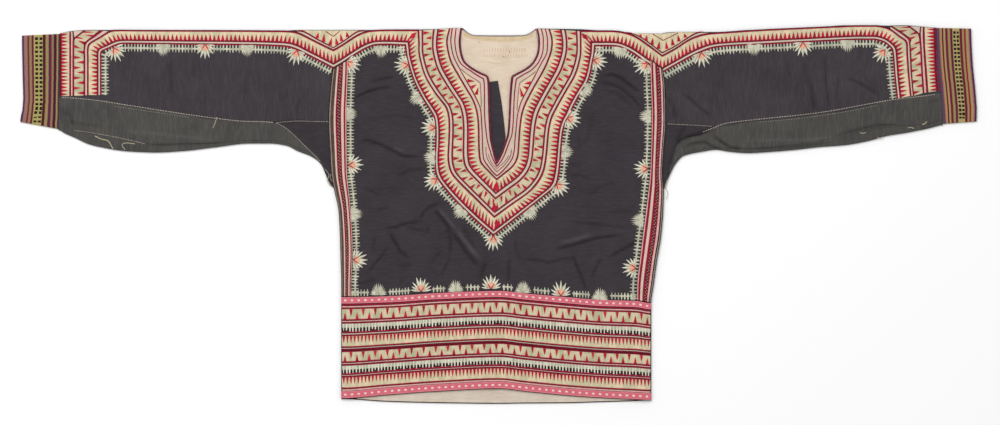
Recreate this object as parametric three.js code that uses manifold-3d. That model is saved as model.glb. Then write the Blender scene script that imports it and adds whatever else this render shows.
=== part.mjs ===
// A long-sleeved embroidered cotton top, laid out flat on its back. Millimetres, +Z up.
// X runs from cuff to cuff, Y from hem to neck, and the cloth rests on Z = 0.
// Each piece that a maker cuts and sews on is its own closed wall of cloth, 0.3 mm clear of its neighbours.
import * as THREE from 'three';
import { mergeVertices } from 'three/addons/utils/BufferGeometryUtils.js';
import Module from 'manifold-3d';

const wasm = await Module();
wasm.setup();

// Cloth thicknesses and the gap kept between pieces that touch.
const COTTON = 1.2; // indigo body and sleeve cloth
const BAND = 1.5; // stiff embroidered hem band
const LINING = 1.0;
const TAPE = 1.0;
const GAP = 0.3;
const CURVED_GAP = 0.5; // along a curved seam, whose two sides step at different points

// Heights of the upper surfaces above the table.
const SLEEVE_TOP = 3.6; // a flattened sleeve or cuff
const EDGE_TOP = 2 * COTTON + GAP; // the front where it rolls down onto the back
const FRONT_TOP = 4.2;
// The front lifts over the lining and the placket, most at y = at.
const NECK_BUMP = { rise: 1.7, at: 140, wide: 85, long: 160 };
const HEM_EDGE_TOP = 2 * BAND + GAP;
const HEM_TOP = 4.8;
const RIDGE = { rise: 1.3, wide: 42, fade: 45 }; // soft fold down the middle of the hem
const ROLL = 12; // width over which an edge rolls down
const SEAM_SLOPE = 40; // width over which the front rises from the armhole seam

// The body below the armholes, and the armhole seams above y = ARMPIT.
const ARMPIT = 36;
const ARMPIT_BLEND = 20; // height over which the side turns from a rolled edge into a seam
const BODY_SIDES = [
  { y: 281, left: -246.5, right: 245 },
  { y: 232, left: -247.5, right: 245.5 },
  { y: 190, left: -252, right: 250 },
  { y: 140, left: -255, right: 251 },
  { y: 97, left: -253, right: 248 },
  { y: 59, left: -250.5, right: 246 },
  { y: 34, left: -246, right: 248 },
  { y: 4, left: -240, right: 247 },
  { y: -32, left: -238, right: 244 },
  { y: -68, left: -237, right: 238 },
  { y: -104, left: -236, right: 233 },
  { y: -134, left: -236, right: 229 },
  { y: -284, left: -236, right: 229 },
];
const SHOULDER = [
  { x: -256, top: 277 },
  { x: -160, top: 277 },
  { x: -104, top: 278 },
  { x: -53, top: 280 },
  { x: 56, top: 279 },
  { x: 122, top: 278 },
  { x: 166, top: 275 },
  { x: 212, top: 272 },
  { x: 251, top: 271.5 },
];
// Waist seam, lower edge of the front hem band, and lower edge of the back one, which shows below it.
const HEM = [
  { x: -236, waist: -123.5, front: -276.5, back: -277 },
  { x: -166, waist: -122, front: -271, back: -281 },
  { x: -88, waist: -117, front: -265.5, back: -283 },
  { x: 2, waist: -114, front: -261.5, back: -284 },
  { x: 38, waist: -117.5, front: -265.5, back: -283.5 },
  { x: 104, waist: -123.5, front: -272, back: -283 },
  { x: 155, waist: -127.5, front: -275.5, back: -281.5 },
  { x: 205, waist: -129, front: -278, back: -280 },
  { x: 229, waist: -132.5, front: -279, back: -279 },
];
// The lining along the back hem: its edges above the hem, and its ends.
const HEM_LINING = { low: 1.5, high: 34, from: -212, to: 205 };
// Half outlines of the neck hole and slit, from the shoulder down to the tip of the slit.
const NECK_LEFT = [
  { x: -54, y: 280 },
  { x: -58.5, y: 253.5 },
  { x: -52, y: 230.5 },
  { x: -29, y: 212 },
  { x: -17, y: 208.5 },
  { x: -14, y: 169.5 },
  { x: -9.5, y: 108 },
  { x: -2.5, y: 78.5 },
];
const NECK_RIGHT = [
  { x: 55.5, y: 278.5 },
  { x: 59.5, y: 253.5 },
  { x: 56.5, y: 235 },
  { x: 35, y: 215 },
  { x: 22.5, y: 208.5 },
  { x: 17.5, y: 169.5 },
  { x: 12, y: 112.5 },
  { x: -2.5, y: 78.5 },
];
const NECK_CORNER = 4; // which point of each outline is the corner between the hole and the slit
const BACK_NECK = [
  { x: -54, y: 280 },
  { x: -41.5, y: 270.5 },
  { x: -22, y: 269 },
  { x: 26, y: 269 },
  { x: 43, y: 270.5 },
  { x: 55.5, y: 278.5 },
];
const ABOVE_NECK = 300; // how far up the cutter of the neck hole reaches past the shoulder
// Corners of the back panel: x of the shoulder ends, and y of the lower ends of the sides.
const BACK_CORNERS = { left: -247, right: 245, lowLeft: -120, lowRight: -130 };

const NECK_LINING = [
  { x: -51.5, y: 275.5 },
  { x: -42, y: 268.7 },
  { x: -22, y: 267.4 },
  { x: 26, y: 267.4 },
  { x: 43, y: 268.7 },
  { x: 52.5, y: 274.5 },
  { x: 54, y: 262 },
  { x: 68, y: 250 },
  { x: 66, y: 60 },
  { x: -62, y: 60 },
  { x: -66, y: 250 },
  { x: -52.5, y: 262 },
];
const PLACKET = [
  { x: -22, y: 198 },
  { x: -1, y: 200.5 },
  { x: 4.5, y: 169.5 },
  { x: 10.5, y: 116 },
  { x: 3, y: 72 },
  { x: -22, y: 72 },
];

// Sections of each sleeve: fold at the top, seam below the upper arm cloth, upper and lower
// seams of the underarm strip, and the lower edge. Between seam and strip lies the armpit piece.
const LEFT_SLEEVE = [
  { x: -658, top: 272, seam: 175, strip: 175, low: 146, bottom: 127 },
  { x: -649, top: 274, seam: 175, strip: 175, low: 136, bottom: 122 },
  { x: -634, top: 276, seam: 174, strip: 174, low: 126, bottom: 115 },
  { x: -613, top: 277, seam: 173, strip: 173, low: 122, bottom: 105 },
  { x: -592, top: 277, seam: 172.5, strip: 172.5, low: 118, bottom: 100 },
  { x: -568, top: 277, seam: 166, strip: 166, low: 115, bottom: 96 },
  { x: -545, top: 277, seam: 161, strip: 161, low: 110, bottom: 94 },
  { x: -514, top: 277, seam: 157, strip: 157, low: 105, bottom: 93 },
  { x: -475, top: 277, seam: 151, strip: 151, low: 106, bottom: 95 },
  { x: -427, top: 277, seam: 142.5, strip: 142.5, low: 107, bottom: 100.5 },
  { x: -373, top: 276, seam: 140, strip: 140, low: 111, bottom: 106.5 },
  { x: -343, top: 275, seam: 139, strip: 139, low: 111, bottom: 106.5 },
  { x: -319, top: 276, seam: 141, strip: 130, low: 108, bottom: 103.5 },
  { x: -301, top: 277, seam: 142, strip: 112.5, low: 100, bottom: 95 },
  { x: -281, top: 277, seam: 141, strip: 96, low: 91.5, bottom: 87 },
  { x: -265, top: 277, seam: 139.5, strip: 79.5, low: 79, bottom: 74 },
  { x: -251, top: 277, seam: 139, strip: 44.5, low: 44, bottom: 40 },
];
const RIGHT_SLEEVE = [
  { x: 248, top: 272, seam: 136, strip: 43.5, low: 43, bottom: 38 },
  { x: 254, top: 273, seam: 135.5, strip: 55.5, low: 55, bottom: 50 },
  { x: 266, top: 274, seam: 134.5, strip: 101, low: 80, bottom: 76 },
  { x: 278, top: 274, seam: 134, strip: 114, low: 92, bottom: 88 },
  { x: 305, top: 274, seam: 132.5, strip: 120, low: 98, bottom: 94 },
  { x: 326, top: 274, seam: 131, strip: 131, low: 101, bottom: 97 },
  { x: 347, top: 275, seam: 134, strip: 134, low: 99, bottom: 94 },
  { x: 374, top: 277, seam: 139, strip: 139, low: 99, bottom: 92 },
  { x: 410, top: 278, seam: 142, strip: 142, low: 101, bottom: 94 },
  { x: 446, top: 280, seam: 146, strip: 146, low: 105, bottom: 97 },
  { x: 482, top: 281.5, seam: 151.5, strip: 151.5, low: 110, bottom: 101 },
  { x: 520, top: 284, seam: 155.5, strip: 155.5, low: 121.5, bottom: 104 },
  { x: 554, top: 284, seam: 163.5, strip: 163.5, low: 131, bottom: 110 },
  { x: 584, top: 283.5, seam: 172, strip: 172, low: 135, bottom: 118 },
  { x: 608, top: 284, seam: 176, strip: 176, low: 133.5, bottom: 122 },
  { x: 637, top: 282, seam: 180, strip: 180, low: 136.5, bottom: 129 },
  { x: 656, top: 280.5, seam: 182.5, strip: 182.5, low: 142, bottom: 134 },
];
// Where the armpit piece starts and the underarm strip ends, as they taper to points.
const LEFT_TAPERS = { armpit: -338, strip: -268 };
const RIGHT_TAPERS = { armpit: 321, strip: 257 };

// Cuffs: x of the seam to the sleeve and of the open end, down the cuff.
const LEFT_CUFF = [
  { y: 270, seam: -658.5, end: -715 },
  { y: 211, seam: -659, end: -714 },
  { y: 164, seam: -660, end: -713 },
  { y: 147, seam: -660, end: -717 },
  { y: 128, seam: -661, end: -718 },
];
const RIGHT_CUFF = [
  { y: 280, seam: 657, end: 709 },
  { y: 232, seam: 659, end: 711 },
  { y: 179, seam: 664, end: 716 },
  { y: 154, seam: 666, end: 717.6 },
  { y: 137, seam: 667, end: 717 },
];
const LEFT_CUFF_EDGES = { topAtSeam: 271, topAtEnd: 268.5, bottomAtSeam: 128.5, bottomAtEnd: 139 };
const RIGHT_CUFF_EDGES = { topAtSeam: 280, topAtEnd: 279, bottomAtSeam: 136, bottomAtEnd: 139.5 };

// The cuff and armhole ends of a sleeve are fitted to their slanting seams over these lengths.
const SEAM_FIT = { cuff: 60, arm: 24 };
const CUFF_JOIN = { down: 0.72, lap: 6 }; // how far down the upper side the cuff's sections start and end

// Striped side strips sewn down the front from the shoulder to the waist: inner edge of each.
const SIDE_STRIPS = [
  { y: 220, left: -226, right: 228 },
  { y: 150, left: -228, right: 230 },
  { y: 68, left: -227.5, right: 228 },
  { y: 20, left: -223, right: 223 },
  { y: -53, left: -219, right: 214 },
  { y: -113, left: -221, right: 208 },
];
const STRIP_TOP = { atSeam: 219, atInner: 233 };

// Tapes along the top and bottom of the front hem band, as shares of the band's depth.
const TAPE_TOP = { from: 0.004, to: 0.066 };
const TAPE_BOTTOM = { from: 0.925, to: 0.993 };

// The largest folds: a soft ridge (rise over 0) or trough along each line.
const FOLDS = [
  { x1: -217, y1: 166, x2: -150, y2: 190, width: 7, rise: -0.9 },
  { x1: -208, y1: 112, x2: -112, y2: 86, width: 8, rise: -0.8 },
  { x1: -170, y1: -26, x2: -104, y2: -12, width: 7, rise: 0.8 },
  { x1: -164, y1: -31, x2: -136, y2: -66, width: 7, rise: -0.8 },
  { x1: -96, y1: 6, x2: -42, y2: -60, width: 8, rise: -1.0 },
  { x1: -66, y1: -8, x2: -18, y2: -82, width: 8, rise: 0.9 },
  { x1: 86, y1: -52, x2: 203, y2: -24, width: 8, rise: 1.0 },
  { x1: 112, y1: -53, x2: 130, y2: -98, width: 7, rise: -0.8 },
  { x1: 152, y1: 210, x2: 212, y2: 164, width: 8, rise: -0.9 },
  { x1: 282, y1: 182, x2: 325, y2: 144, width: 8, rise: -0.5 },
  { x1: 262, y1: 108, x2: 322, y2: 112, width: 8, rise: 0.9 },
  { x1: 332, y1: 118, x2: 372, y2: 104, width: 7, rise: -0.5 },
  { x1: 528, y1: 202, x2: 568, y2: 182, width: 7, rise: -0.5 },
  { x1: -640, y1: 124, x2: -520, y2: 102, width: 7, rise: 0.6 },
  { x1: -470, y1: 116, x2: -360, y2: 118, width: 9, rise: 0.7 },
  { x1: -712, y1: 160, x2: -664, y2: 158, width: 6, rise: 1.0 },
  { x1: 668, y1: 152, x2: 716, y2: 150, width: 6, rise: 0.8 },
];

// Grid steps of the curved walls.
const FRONT_STEPS = { strip: 3, across: 28, down: 26 };
const BACK_STEPS = { shoulder: 6, neck: 14 };
const NECK_STEPS = { hole: 12, slit: 6 };
const HEM_STEPS = { down: 6, flat: 20 };
const SLEEVE_STEPS = { upper: 8, fold: 4, under: 14, sliver: 1 };
const PATCH_ROWS = { strip: 4, armpit: 8 };
const CUFF_RINGS = 5;

const cotton = new THREE.MeshStandardMaterial({ color: 0x3b373a, roughness: 0.95 });
const stripCotton = new THREE.MeshStandardMaterial({ color: 0x4a4d48, roughness: 0.95 });
const lining = new THREE.MeshStandardMaterial({ color: 0xcfc2ab, roughness: 0.95 });
const embroidery = new THREE.MeshStandardMaterial({ color: 0xc2a98c, roughness: 0.85 });
const tape = new THREE.MeshStandardMaterial({ color: 0xc4566b, roughness: 0.8 });
const weave = new THREE.MeshStandardMaterial({ color: 0x96703f, roughness: 0.85 });

const clamp01 = (t) => Math.min(1, Math.max(0, t));
const mix = (a, b, t) => a + (b - a) * t;

function ease(t) {
  const s = clamp01(t);
  return s * s * (3 - 2 * s);
}

// A smooth curve through one column of a table against another, with no overshoot between rows.
function curve(table, key, column) {
  const rows = [...table].sort((a, b) => a[key] - b[key]);
  const steps = rows.slice(1).map((row, i) => (row[column] - rows[i][column]) / (row[key] - rows[i][key]));
  const slopes = rows.map((_, i) => {
    const before = steps[i - 1] ?? 0;
    const after = steps[i] ?? 0;
    return before * after > 0 ? (2 * before * after) / (before + after) : 0;
  });
  return (at) => {
    const t = Math.min(Math.max(at, rows[0][key]), rows.at(-1)[key]);
    const i = Math.max(1, rows.findIndex((row) => row[key] >= t)) - 1;
    const span = rows[i + 1][key] - rows[i][key];
    const s = (t - rows[i][key]) / span;
    const cubic = s * s * (3 - 2 * s);
    const start = s * (1 - s) * (1 - s) * slopes[i] * span;
    const end = s * s * (s - 1) * slopes[i + 1] * span;
    return mix(rows[i][column], rows[i + 1][column], cubic) + start + end;
  };
}

const bodyLeft = curve(BODY_SIDES, 'y', 'left');
const bodyRight = curve(BODY_SIDES, 'y', 'right');
const shoulder = curve(SHOULDER, 'x', 'top');
const waist = curve(HEM, 'x', 'waist');
const frontHem = curve(HEM, 'x', 'front');
const backHem = curve(HEM, 'x', 'back');
const stripLeft = curve(SIDE_STRIPS, 'y', 'left');
const stripRight = curve(SIDE_STRIPS, 'y', 'right');

// Sum of the soft folds at a point.
function relief(x, y) {
  return FOLDS.reduce((sum, fold) => {
    const length = Math.hypot(fold.x2 - fold.x1, fold.y2 - fold.y1);
    const ux = (fold.x2 - fold.x1) / length;
    const uy = (fold.y2 - fold.y1) / length;
    const along = Math.min(length, Math.max(0, (x - fold.x1) * ux + (y - fold.y1) * uy));
    const away = Math.hypot(x - fold.x1 - ux * along, y - fold.y1 - uy * along);
    return sum + fold.rise * Math.exp(-((away / fold.width) ** 2));
  }, 0);
}

// The soft fold that runs down the middle of the hem and fades into the front.
function ridge(x, y) {
  const fade = y > waist(x) ? Math.exp(-(y - waist(x)) / RIDGE.fade) : 1;
  return RIDGE.rise * fade * Math.exp(-((x / RIDGE.wide) ** 2));
}

// Height of the front's upper surface.
function frontTop(x, y) {
  const side = Math.min(x - bodyLeft(y), bodyRight(y) - x);
  const sewn = ease((y - ARMPIT) / ARMPIT_BLEND); // 1 where the side is an armhole seam
  const inwards = ease(side / SEAM_SLOPE);
  const bump = Math.exp(-((x / NECK_BUMP.wide) ** 2) - ((y - NECK_BUMP.at) / NECK_BUMP.long) ** 2);
  const atSeam = mix(SLEEVE_TOP, FRONT_TOP, inwards);
  const flat = mix(FRONT_TOP, atSeam, sewn) + NECK_BUMP.rise * bump * inwards + ridge(x, y);
  const roll = ease((shoulder(x) - y) / ROLL) * mix(ease(side / ROLL), 1, sewn);
  return EDGE_TOP + (flat + relief(x, y) * inwards - EDGE_TOP) * roll;
}

// Height of the front hem band's upper surface.
function hemTop(x, y) {
  const side = Math.min(x - bodyLeft(y), bodyRight(y) - x);
  return HEM_EDGE_TOP + (HEM_TOP + ridge(x, y) - HEM_EDGE_TOP) * ease(side / ROLL);
}

// A closed body between a grid of outer points and a grid of inner points. The columns of a ring join up.
function wall(outer, inner, ring = false) {
  const rows = outer.length;
  const columns = outer[0].length;
  const points = [...outer.flat(), ...inner.flat()];
  const out = (j, i) => j * columns + (i % columns);
  const back = (index) => index + rows * columns;
  const index = [];
  const quad = (a, b, c, d) => index.push(a, b, c, a, c, d);
  const rim = (p, q) => quad(q, p, back(p), back(q));
  const spans = ring ? columns : columns - 1;
  for (let j = 0; j < rows - 1; j++) {
    for (let i = 0; i < spans; i++) {
      const corners = [out(j, i), out(j, i + 1), out(j + 1, i + 1), out(j + 1, i)];
      quad(...corners);
      quad(...corners.map(back).reverse());
    }
  }
  for (let i = 0; i < spans; i++) {
    rim(out(0, i), out(0, i + 1));
    rim(out(rows - 1, i + 1), out(rows - 1, i));
  }
  for (let j = 0; j < rows - 1 && !ring; j++) {
    rim(out(j + 1, 0), out(j, 0));
    rim(out(j, columns - 1), out(j + 1, columns - 1));
  }
  const geometry = new THREE.BufferGeometry().setFromPoints(points);
  geometry.setIndex(facingOut(points, index));
  return geometry;
}

// The triangles turned round if they enclose a negative volume.
function facingOut(points, index) {
  let volume = 0;
  for (let k = 0; k < index.length; k += 3) {
    const [a, b, c] = index.slice(k, k + 3).map((i) => points[i]);
    volume += a.dot(b.clone().cross(c));
  }
  return volume > 0 ? index : index.toReversed();
}

// A wall of upright thickness under a surface, over a grid of plan points.
function drape(plan, topOf, thickness) {
  const outer = plan.map((row) => row.map(({ x, y }) => new THREE.Vector3(x, y, topOf(x, y))));
  const inner = outer.map((row) => row.map((p) => new THREE.Vector3(p.x, p.y, p.z - thickness)));
  return wall(outer, inner);
}

const stepsFrom = (from, to, count) => Array.from({ length: count + 1 }, (_, i) => mix(from, to, i / count));

// Places across the front, from a height on its left side to one on its right, closer under the side strips.
function acrossBody(leftY, rightY) {
  const { strip, across } = FRONT_STEPS;
  const inner = [stripLeft(leftY), stripRight(rightY)];
  const left = stepsFrom(bodyLeft(leftY), inner[0], strip);
  const right = stepsFrom(inner[1], bodyRight(rightY), strip);
  return [...left.slice(0, -1), ...stepsFrom(...inner, across), ...right.slice(1)];
}

// Plan points of a panel of the body between two curves, at shares of the way down.
function bodyPlan(upper, lower, shares) {
  return shares.map((down) => {
    const heightOn = (side) => [1, 2, 3].reduce((y) => mix(upper(side(y)), lower(side(y)), down), 0);
    const places = acrossBody(heightOn(bodyLeft), heightOn(bodyRight));
    return places.map((x) => ({ x, y: mix(upper(x), lower(x), down) }));
  });
}

// A flat closed slab with the outline's plan between two heights.
function slab(outline, base, thickness) {
  const shape = new THREE.Shape(outline.map(({ x, y }) => new THREE.Vector2(x, y)));
  return new THREE.ExtrudeGeometry(shape, { depth: thickness, bevelEnabled: false }).translate(0, 0, base);
}

// A smooth line through plan points.
function smoothLine(points, divisions) {
  const line = new THREE.SplineCurve(points.map(({ x, y }) => new THREE.Vector2(x, y)));
  return line.getPoints(divisions).map(({ x, y }) => ({ x, y }));
}

function solidOf(geometry) {
  const bare = geometry.clone();
  bare.deleteAttribute('normal');
  bare.deleteAttribute('uv');
  const merged = mergeVertices(bare, 1e-4);
  const vertProperties = new Float32Array(merged.getAttribute('position').array);
  const triVerts = new Uint32Array(merged.index.array);
  return new wasm.Manifold(new wasm.Mesh({ numProp: 3, vertProperties, triVerts }));
}

function cut(geometry, cutter) {
  const { vertProperties, triVerts } = solidOf(geometry).subtract(solidOf(cutter)).getMesh();
  const result = new THREE.BufferGeometry();
  result.setAttribute('position', new THREE.BufferAttribute(vertProperties, 3));
  result.setIndex(new THREE.BufferAttribute(triVerts, 1));
  return result;
}

// Back panel: a flat slab with a shallow scooped neck.
function backPanel() {
  const { left: leftEnd, right: rightEnd, lowLeft, lowRight } = BACK_CORNERS;
  const sideLine = (body, from, to) => stepsFrom(from, to, FRONT_STEPS.down).map((y) => ({ x: body(y), y }));
  const right = sideLine(bodyRight, shoulder(rightEnd), lowRight);
  const left = sideLine(bodyLeft, lowLeft, shoulder(leftEnd));
  const top = (from, to) => stepsFrom(from, to, BACK_STEPS.shoulder).map((x) => ({ x, y: shoulder(x) }));
  const base = stepsFrom(HEM.at(-1).x, HEM[0].x, HEM_STEPS.flat).map((x) => ({ x, y: waist(x) + GAP / 2 }));
  const neck = smoothLine(BACK_NECK, BACK_STEPS.neck).slice(1, -1);
  const beforeNeck = top(leftEnd, BACK_NECK[0].x).slice(1);
  const upper = [...beforeNeck, ...neck, ...top(BACK_NECK.at(-1).x, rightEnd).slice(0, -1)];
  return slab([...upper, ...right.slice(0, -1), ...base, ...left], 0, COTTON);
}

const frontPlan = bodyPlan(shoulder, (x) => waist(x) + GAP / 2, stepsFrom(0, 1, FRONT_STEPS.down));

function frontPanel() {
  const sheet = drape(frontPlan, frontTop, COTTON);
  const [left, right] = [NECK_LEFT, NECK_RIGHT].map((points) => [
    ...smoothLine(points.slice(0, NECK_CORNER + 1), NECK_STEPS.hole),
    ...smoothLine(points.slice(NECK_CORNER), NECK_STEPS.slit).slice(1),
  ]);
  const above = [
    { x: right[0].x, y: ABOVE_NECK },
    { x: left[0].x, y: ABOVE_NECK },
  ];
  return cut(sheet, slab([...left, ...right.slice(0, -1).reverse(), ...above], -1, 20));
}

// A flat slab of the hem between two curves.
function hemSlab(lower, upper, base, thickness, from, to) {
  const down = stepsFrom(from, to, HEM_STEPS.flat).map((x) => ({ x, y: lower(x) }));
  const up = stepsFrom(to, from, HEM_STEPS.flat).map((x) => ({ x, y: upper(x) }));
  return slab([...down, ...up], base, thickness);
}

// One cross-section of a flattened tube, from y = from on its upper side, round the top fold, along the
// flat underside, round the lower fold and back to y = to. Each point has its outward direction.
function tubeSection({ top, bottom, from, to }) {
  const radius = SLEEVE_TOP / 2;
  const flatPart = (a, b, count) => stepsFrom(a, b, count).map((y) => ({ y, z: SLEEVE_TOP, ny: 0, nz: 1 }));
  const fold = (centre, start) =>
    stepsFrom(start, start - Math.PI, SLEEVE_STEPS.fold).map((turn) => ({
      y: centre + radius * Math.cos(turn),
      z: radius + radius * Math.sin(turn),
      ny: Math.cos(turn),
      nz: Math.sin(turn),
    }));
  const between = stepsFrom(top - radius, bottom + radius, SLEEVE_STEPS.under);
  const underside = between.map((y) => ({ y, z: 0, ny: 0, nz: -1 }));
  return [
    ...flatPart(from, top - radius, SLEEVE_STEPS.upper).slice(0, -1),
    ...fold(top - radius, Math.PI / 2),
    ...underside.slice(1, -1),
    ...fold(bottom + radius, -Math.PI / 2),
    ...flatPart(bottom + radius, to, SLEEVE_STEPS.sliver).slice(1),
  ];
}

// The wall of a flattened tube through sections, where place(section, y) gives x.
function tubeWall(sections, place, thickness, ring = false) {
  const lift = ({ top, bottom }, x, p) =>
    p.nz > 0.99 ? relief(x, p.y) * ease(Math.min(top - p.y, p.y - bottom) / ROLL) : 0;
  const grid = (depth) =>
    sections.map((section) =>
      tubeSection(section).map((p) => {
        const x = place(section, p.y);
        return new THREE.Vector3(x, p.y - p.ny * depth, p.z - p.nz * depth + lift(section, x, p));
      }),
    );
  return wall(grid(0), grid(thickness), ring);
}

// One sleeve: the upper-arm cloth folded over the top, the underarm strip and the armpit piece.
function sleevePieces(table, cuff, tapers, armhole) {
  const cuffSeam = curve(cuff, 'y', 'seam');
  const way = Math.sign(tapers.strip); // +1 on the right sleeve
  const outward = (a, b) => way * (b - a);
  const stations = [...table.map(({ x }) => x), tapers.strip, tapers.armpit].sort(outward);
  const [cuffEnd, armEnd] = [stations[0], stations.at(-1)];
  const column = (name) => curve(table, 'x', name);
  const [top, seam, strip, low, bottom] = ['top', 'seam', 'strip', 'low', 'bottom'].map(column);
  const place = (x, y) => {
    const nearCuff = ease(1 - Math.abs(x - cuffEnd) / SEAM_FIT.cuff);
    const nearArm = ease(1 - Math.abs(x - armEnd) / SEAM_FIT.arm);
    const atCuff = cuffSeam(y) - way * CURVED_GAP - cuffEnd;
    const atArm = armhole(y) + way * CURVED_GAP - armEnd;
    return x + nearCuff * atCuff + nearArm * atArm;
  };
  const topOf = (x, y) => SLEEVE_TOP + relief(x, y) * ease(Math.min(top(x) - y, y - bottom(x)) / ROLL);
  const sections = stations.map((x) => {
    return { x, top: top(x), bottom: bottom(x), from: seam(x) + GAP / 2, to: low(x) - GAP / 2 };
  });
  const patch = (places, upper, lower, rows) =>
    drape(
      places.map((x) =>
        stepsFrom(0, 1, rows).map((down) => {
          const y = mix(upper(x) - GAP / 2, lower(x) + GAP / 2, down);
          return { x: place(x, y), y };
        }),
      ),
      topOf,
      COTTON,
    );
  const alongStrip = stations.filter((x) => outward(x, tapers.strip) <= 0);
  const alongArmpit = stations.filter((x) => outward(x, tapers.armpit) >= 0);
  return {
    cloth: tubeWall(sections, (section, y) => place(section.x, y), COTTON),
    strip: patch(alongStrip, strip, low, PATCH_ROWS.strip),
    armpit: patch(alongArmpit, seam, strip, PATCH_ROWS.armpit),
  };
}

// A cuff: a flattened ring of striped weave.
function cuffRing(table, edges) {
  const seam = curve(table, 'y', 'seam');
  const end = curve(table, 'y', 'end');
  const sections = stepsFrom(0, 1, CUFF_RINGS).map((share) => {
    const top = mix(edges.topAtSeam, edges.topAtEnd, share);
    const bottom = mix(edges.bottomAtSeam, edges.bottomAtEnd, share);
    const from = mix(top, bottom, CUFF_JOIN.down);
    return { share, top, bottom, from, to: from - CUFF_JOIN.lap };
  });
  return tubeWall(sections, (section, y) => mix(seam(y), end(y), section.share), COTTON, true);
}

// A striped strip sewn over one side of the front, made from the front's points moved out.
function sideStrip(columnsOf) {
  const rows = frontPlan.map(columnsOf);
  const seamFirst = rows[0][0].x < 0;
  const below = rows.filter((row) => Math.max(...row.map(({ y }) => y)) < STRIP_TOP.atSeam - 2);
  const head = below[0].map(({ x }, i) => {
    const across = i / FRONT_STEPS.strip;
    return { x, y: mix(STRIP_TOP.atSeam, STRIP_TOP.atInner, seamFirst ? across : 1 - across) };
  });
  return drape([head, ...below], (x, y) => frontTop(x, y) + GAP + TAPE, TAPE);
}

function hemTape({ from, to }) {
  return drape(bodyPlan(waist, frontHem, [from, to]), (x, y) => hemTop(x, y) + GAP + TAPE, TAPE);
}

const top = new THREE.Group();

function add(name, geometry, material) {
  const mesh = new THREE.Mesh(geometry, material);
  mesh.name = name;
  top.add(mesh);
}

add('back', backPanel(), cotton);
add('front', frontPanel(), cotton);
add('neck_lining', slab(NECK_LINING, COTTON + GAP, LINING), lining);
add('placket', slab(PLACKET, COTTON + LINING + 2 * GAP, LINING), cotton);

const backBand = hemSlab(backHem, (x) => waist(x) - GAP / 2, 0, BAND, HEM[0].x, HEM.at(-1).x);
add('hem_band_back', backBand, embroidery);
const facingEdge = (up) => (x) => backHem(x) + up;
const { low, high, from, to } = HEM_LINING;
const facing = hemSlab(facingEdge(low), facingEdge(high), BAND + GAP, LINING, from, to);
add('hem_lining', facing, lining);
const hemPlan = bodyPlan((x) => waist(x) - GAP / 2, frontHem, stepsFrom(0, 1, HEM_STEPS.down));
add('hem_band_front', drape(hemPlan, hemTop, BAND), embroidery);
add('hem_tape_top', hemTape(TAPE_TOP), tape);
add('hem_tape_bottom', hemTape(TAPE_BOTTOM), tape);

add('side_strip_left', sideStrip((row) => row.slice(0, FRONT_STEPS.strip + 1)), embroidery);
add('side_strip_right', sideStrip((row) => row.slice(-FRONT_STEPS.strip - 1)), embroidery);

const sides = [
  ['left', LEFT_SLEEVE, LEFT_CUFF, LEFT_CUFF_EDGES, LEFT_TAPERS, bodyLeft],
  ['right', RIGHT_SLEEVE, RIGHT_CUFF, RIGHT_CUFF_EDGES, RIGHT_TAPERS, bodyRight],
];
for (const [side, table, cuff, edges, tapers, armhole] of sides) {
  const pieces = sleevePieces(table, cuff, tapers, armhole);
  add(`sleeve_${side}`, pieces.cloth, cotton);
  add(`underarm_strip_${side}`, pieces.strip, stripCotton);
  add(`armpit_piece_${side}`, pieces.armpit, cotton);
  add(`cuff_${side}`, cuffRing(cuff, edges), weave);
}

export default top;
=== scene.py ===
"""An embroidered cotton top laid flat on its back.

Dark indigo cloth carries a lined neck opening with a slit, bands of red and cream stitching with star
rosettes, striped side strips, striped woven cuffs and a deep stitched hem between pink tapes.
Places are in millimetres in the frame of the CAD part, +Z up, and meshes are in metres.
"""

from __future__ import annotations

import logging
import math
from dataclasses import dataclass, field
from enum import Enum
from typing import Callable, Sequence

import bmesh
import bpy
import numpy as np
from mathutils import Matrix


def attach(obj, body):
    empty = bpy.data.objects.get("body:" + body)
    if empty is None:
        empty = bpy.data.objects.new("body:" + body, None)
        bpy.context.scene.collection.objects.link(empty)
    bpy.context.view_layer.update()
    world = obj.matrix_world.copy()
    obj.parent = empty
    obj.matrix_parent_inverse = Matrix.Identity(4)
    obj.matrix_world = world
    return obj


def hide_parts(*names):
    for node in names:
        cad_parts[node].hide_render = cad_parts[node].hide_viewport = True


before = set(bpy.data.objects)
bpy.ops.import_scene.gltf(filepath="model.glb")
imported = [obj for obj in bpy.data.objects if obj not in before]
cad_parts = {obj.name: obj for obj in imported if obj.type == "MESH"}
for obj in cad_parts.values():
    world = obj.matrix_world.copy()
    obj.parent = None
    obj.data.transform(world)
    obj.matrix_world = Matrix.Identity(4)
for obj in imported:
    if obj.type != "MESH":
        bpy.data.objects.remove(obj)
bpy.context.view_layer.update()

LOG = logging.getLogger("embroidered_top")
MM = 0.001
SEED = 11

# Where a pixel of a 1000 x 425 picture lies on the table.
PIXEL = 1.5  # millimetres a pixel
PICTURE = (1000, 425)
ORIGIN_PIXEL = (498.5, 214.5)

Places = np.ndarray  # (n, 2) places on the table, or (n, 3) points, in millimetres
Height = Callable[[np.ndarray, np.ndarray], np.ndarray]
Pixels = Sequence[float]  # columns and rows of the picture in turn, or pairs of them
Stripes = tuple[tuple[float, str], ...]


def on_table(pixels: Pixels) -> Places:
    """Turns pixels of the picture into places on the table.

    Args:
        pixels: Pixel columns and rows.

    Returns:
        The places, in millimetres.
    """
    at = np.asarray(pixels, float).reshape(-1, 2)
    return np.stack([(at[:, 0] - ORIGIN_PIXEL[0]) * PIXEL, (ORIGIN_PIXEL[1] - at[:, 1]) * PIXEL], axis=1)


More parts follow.
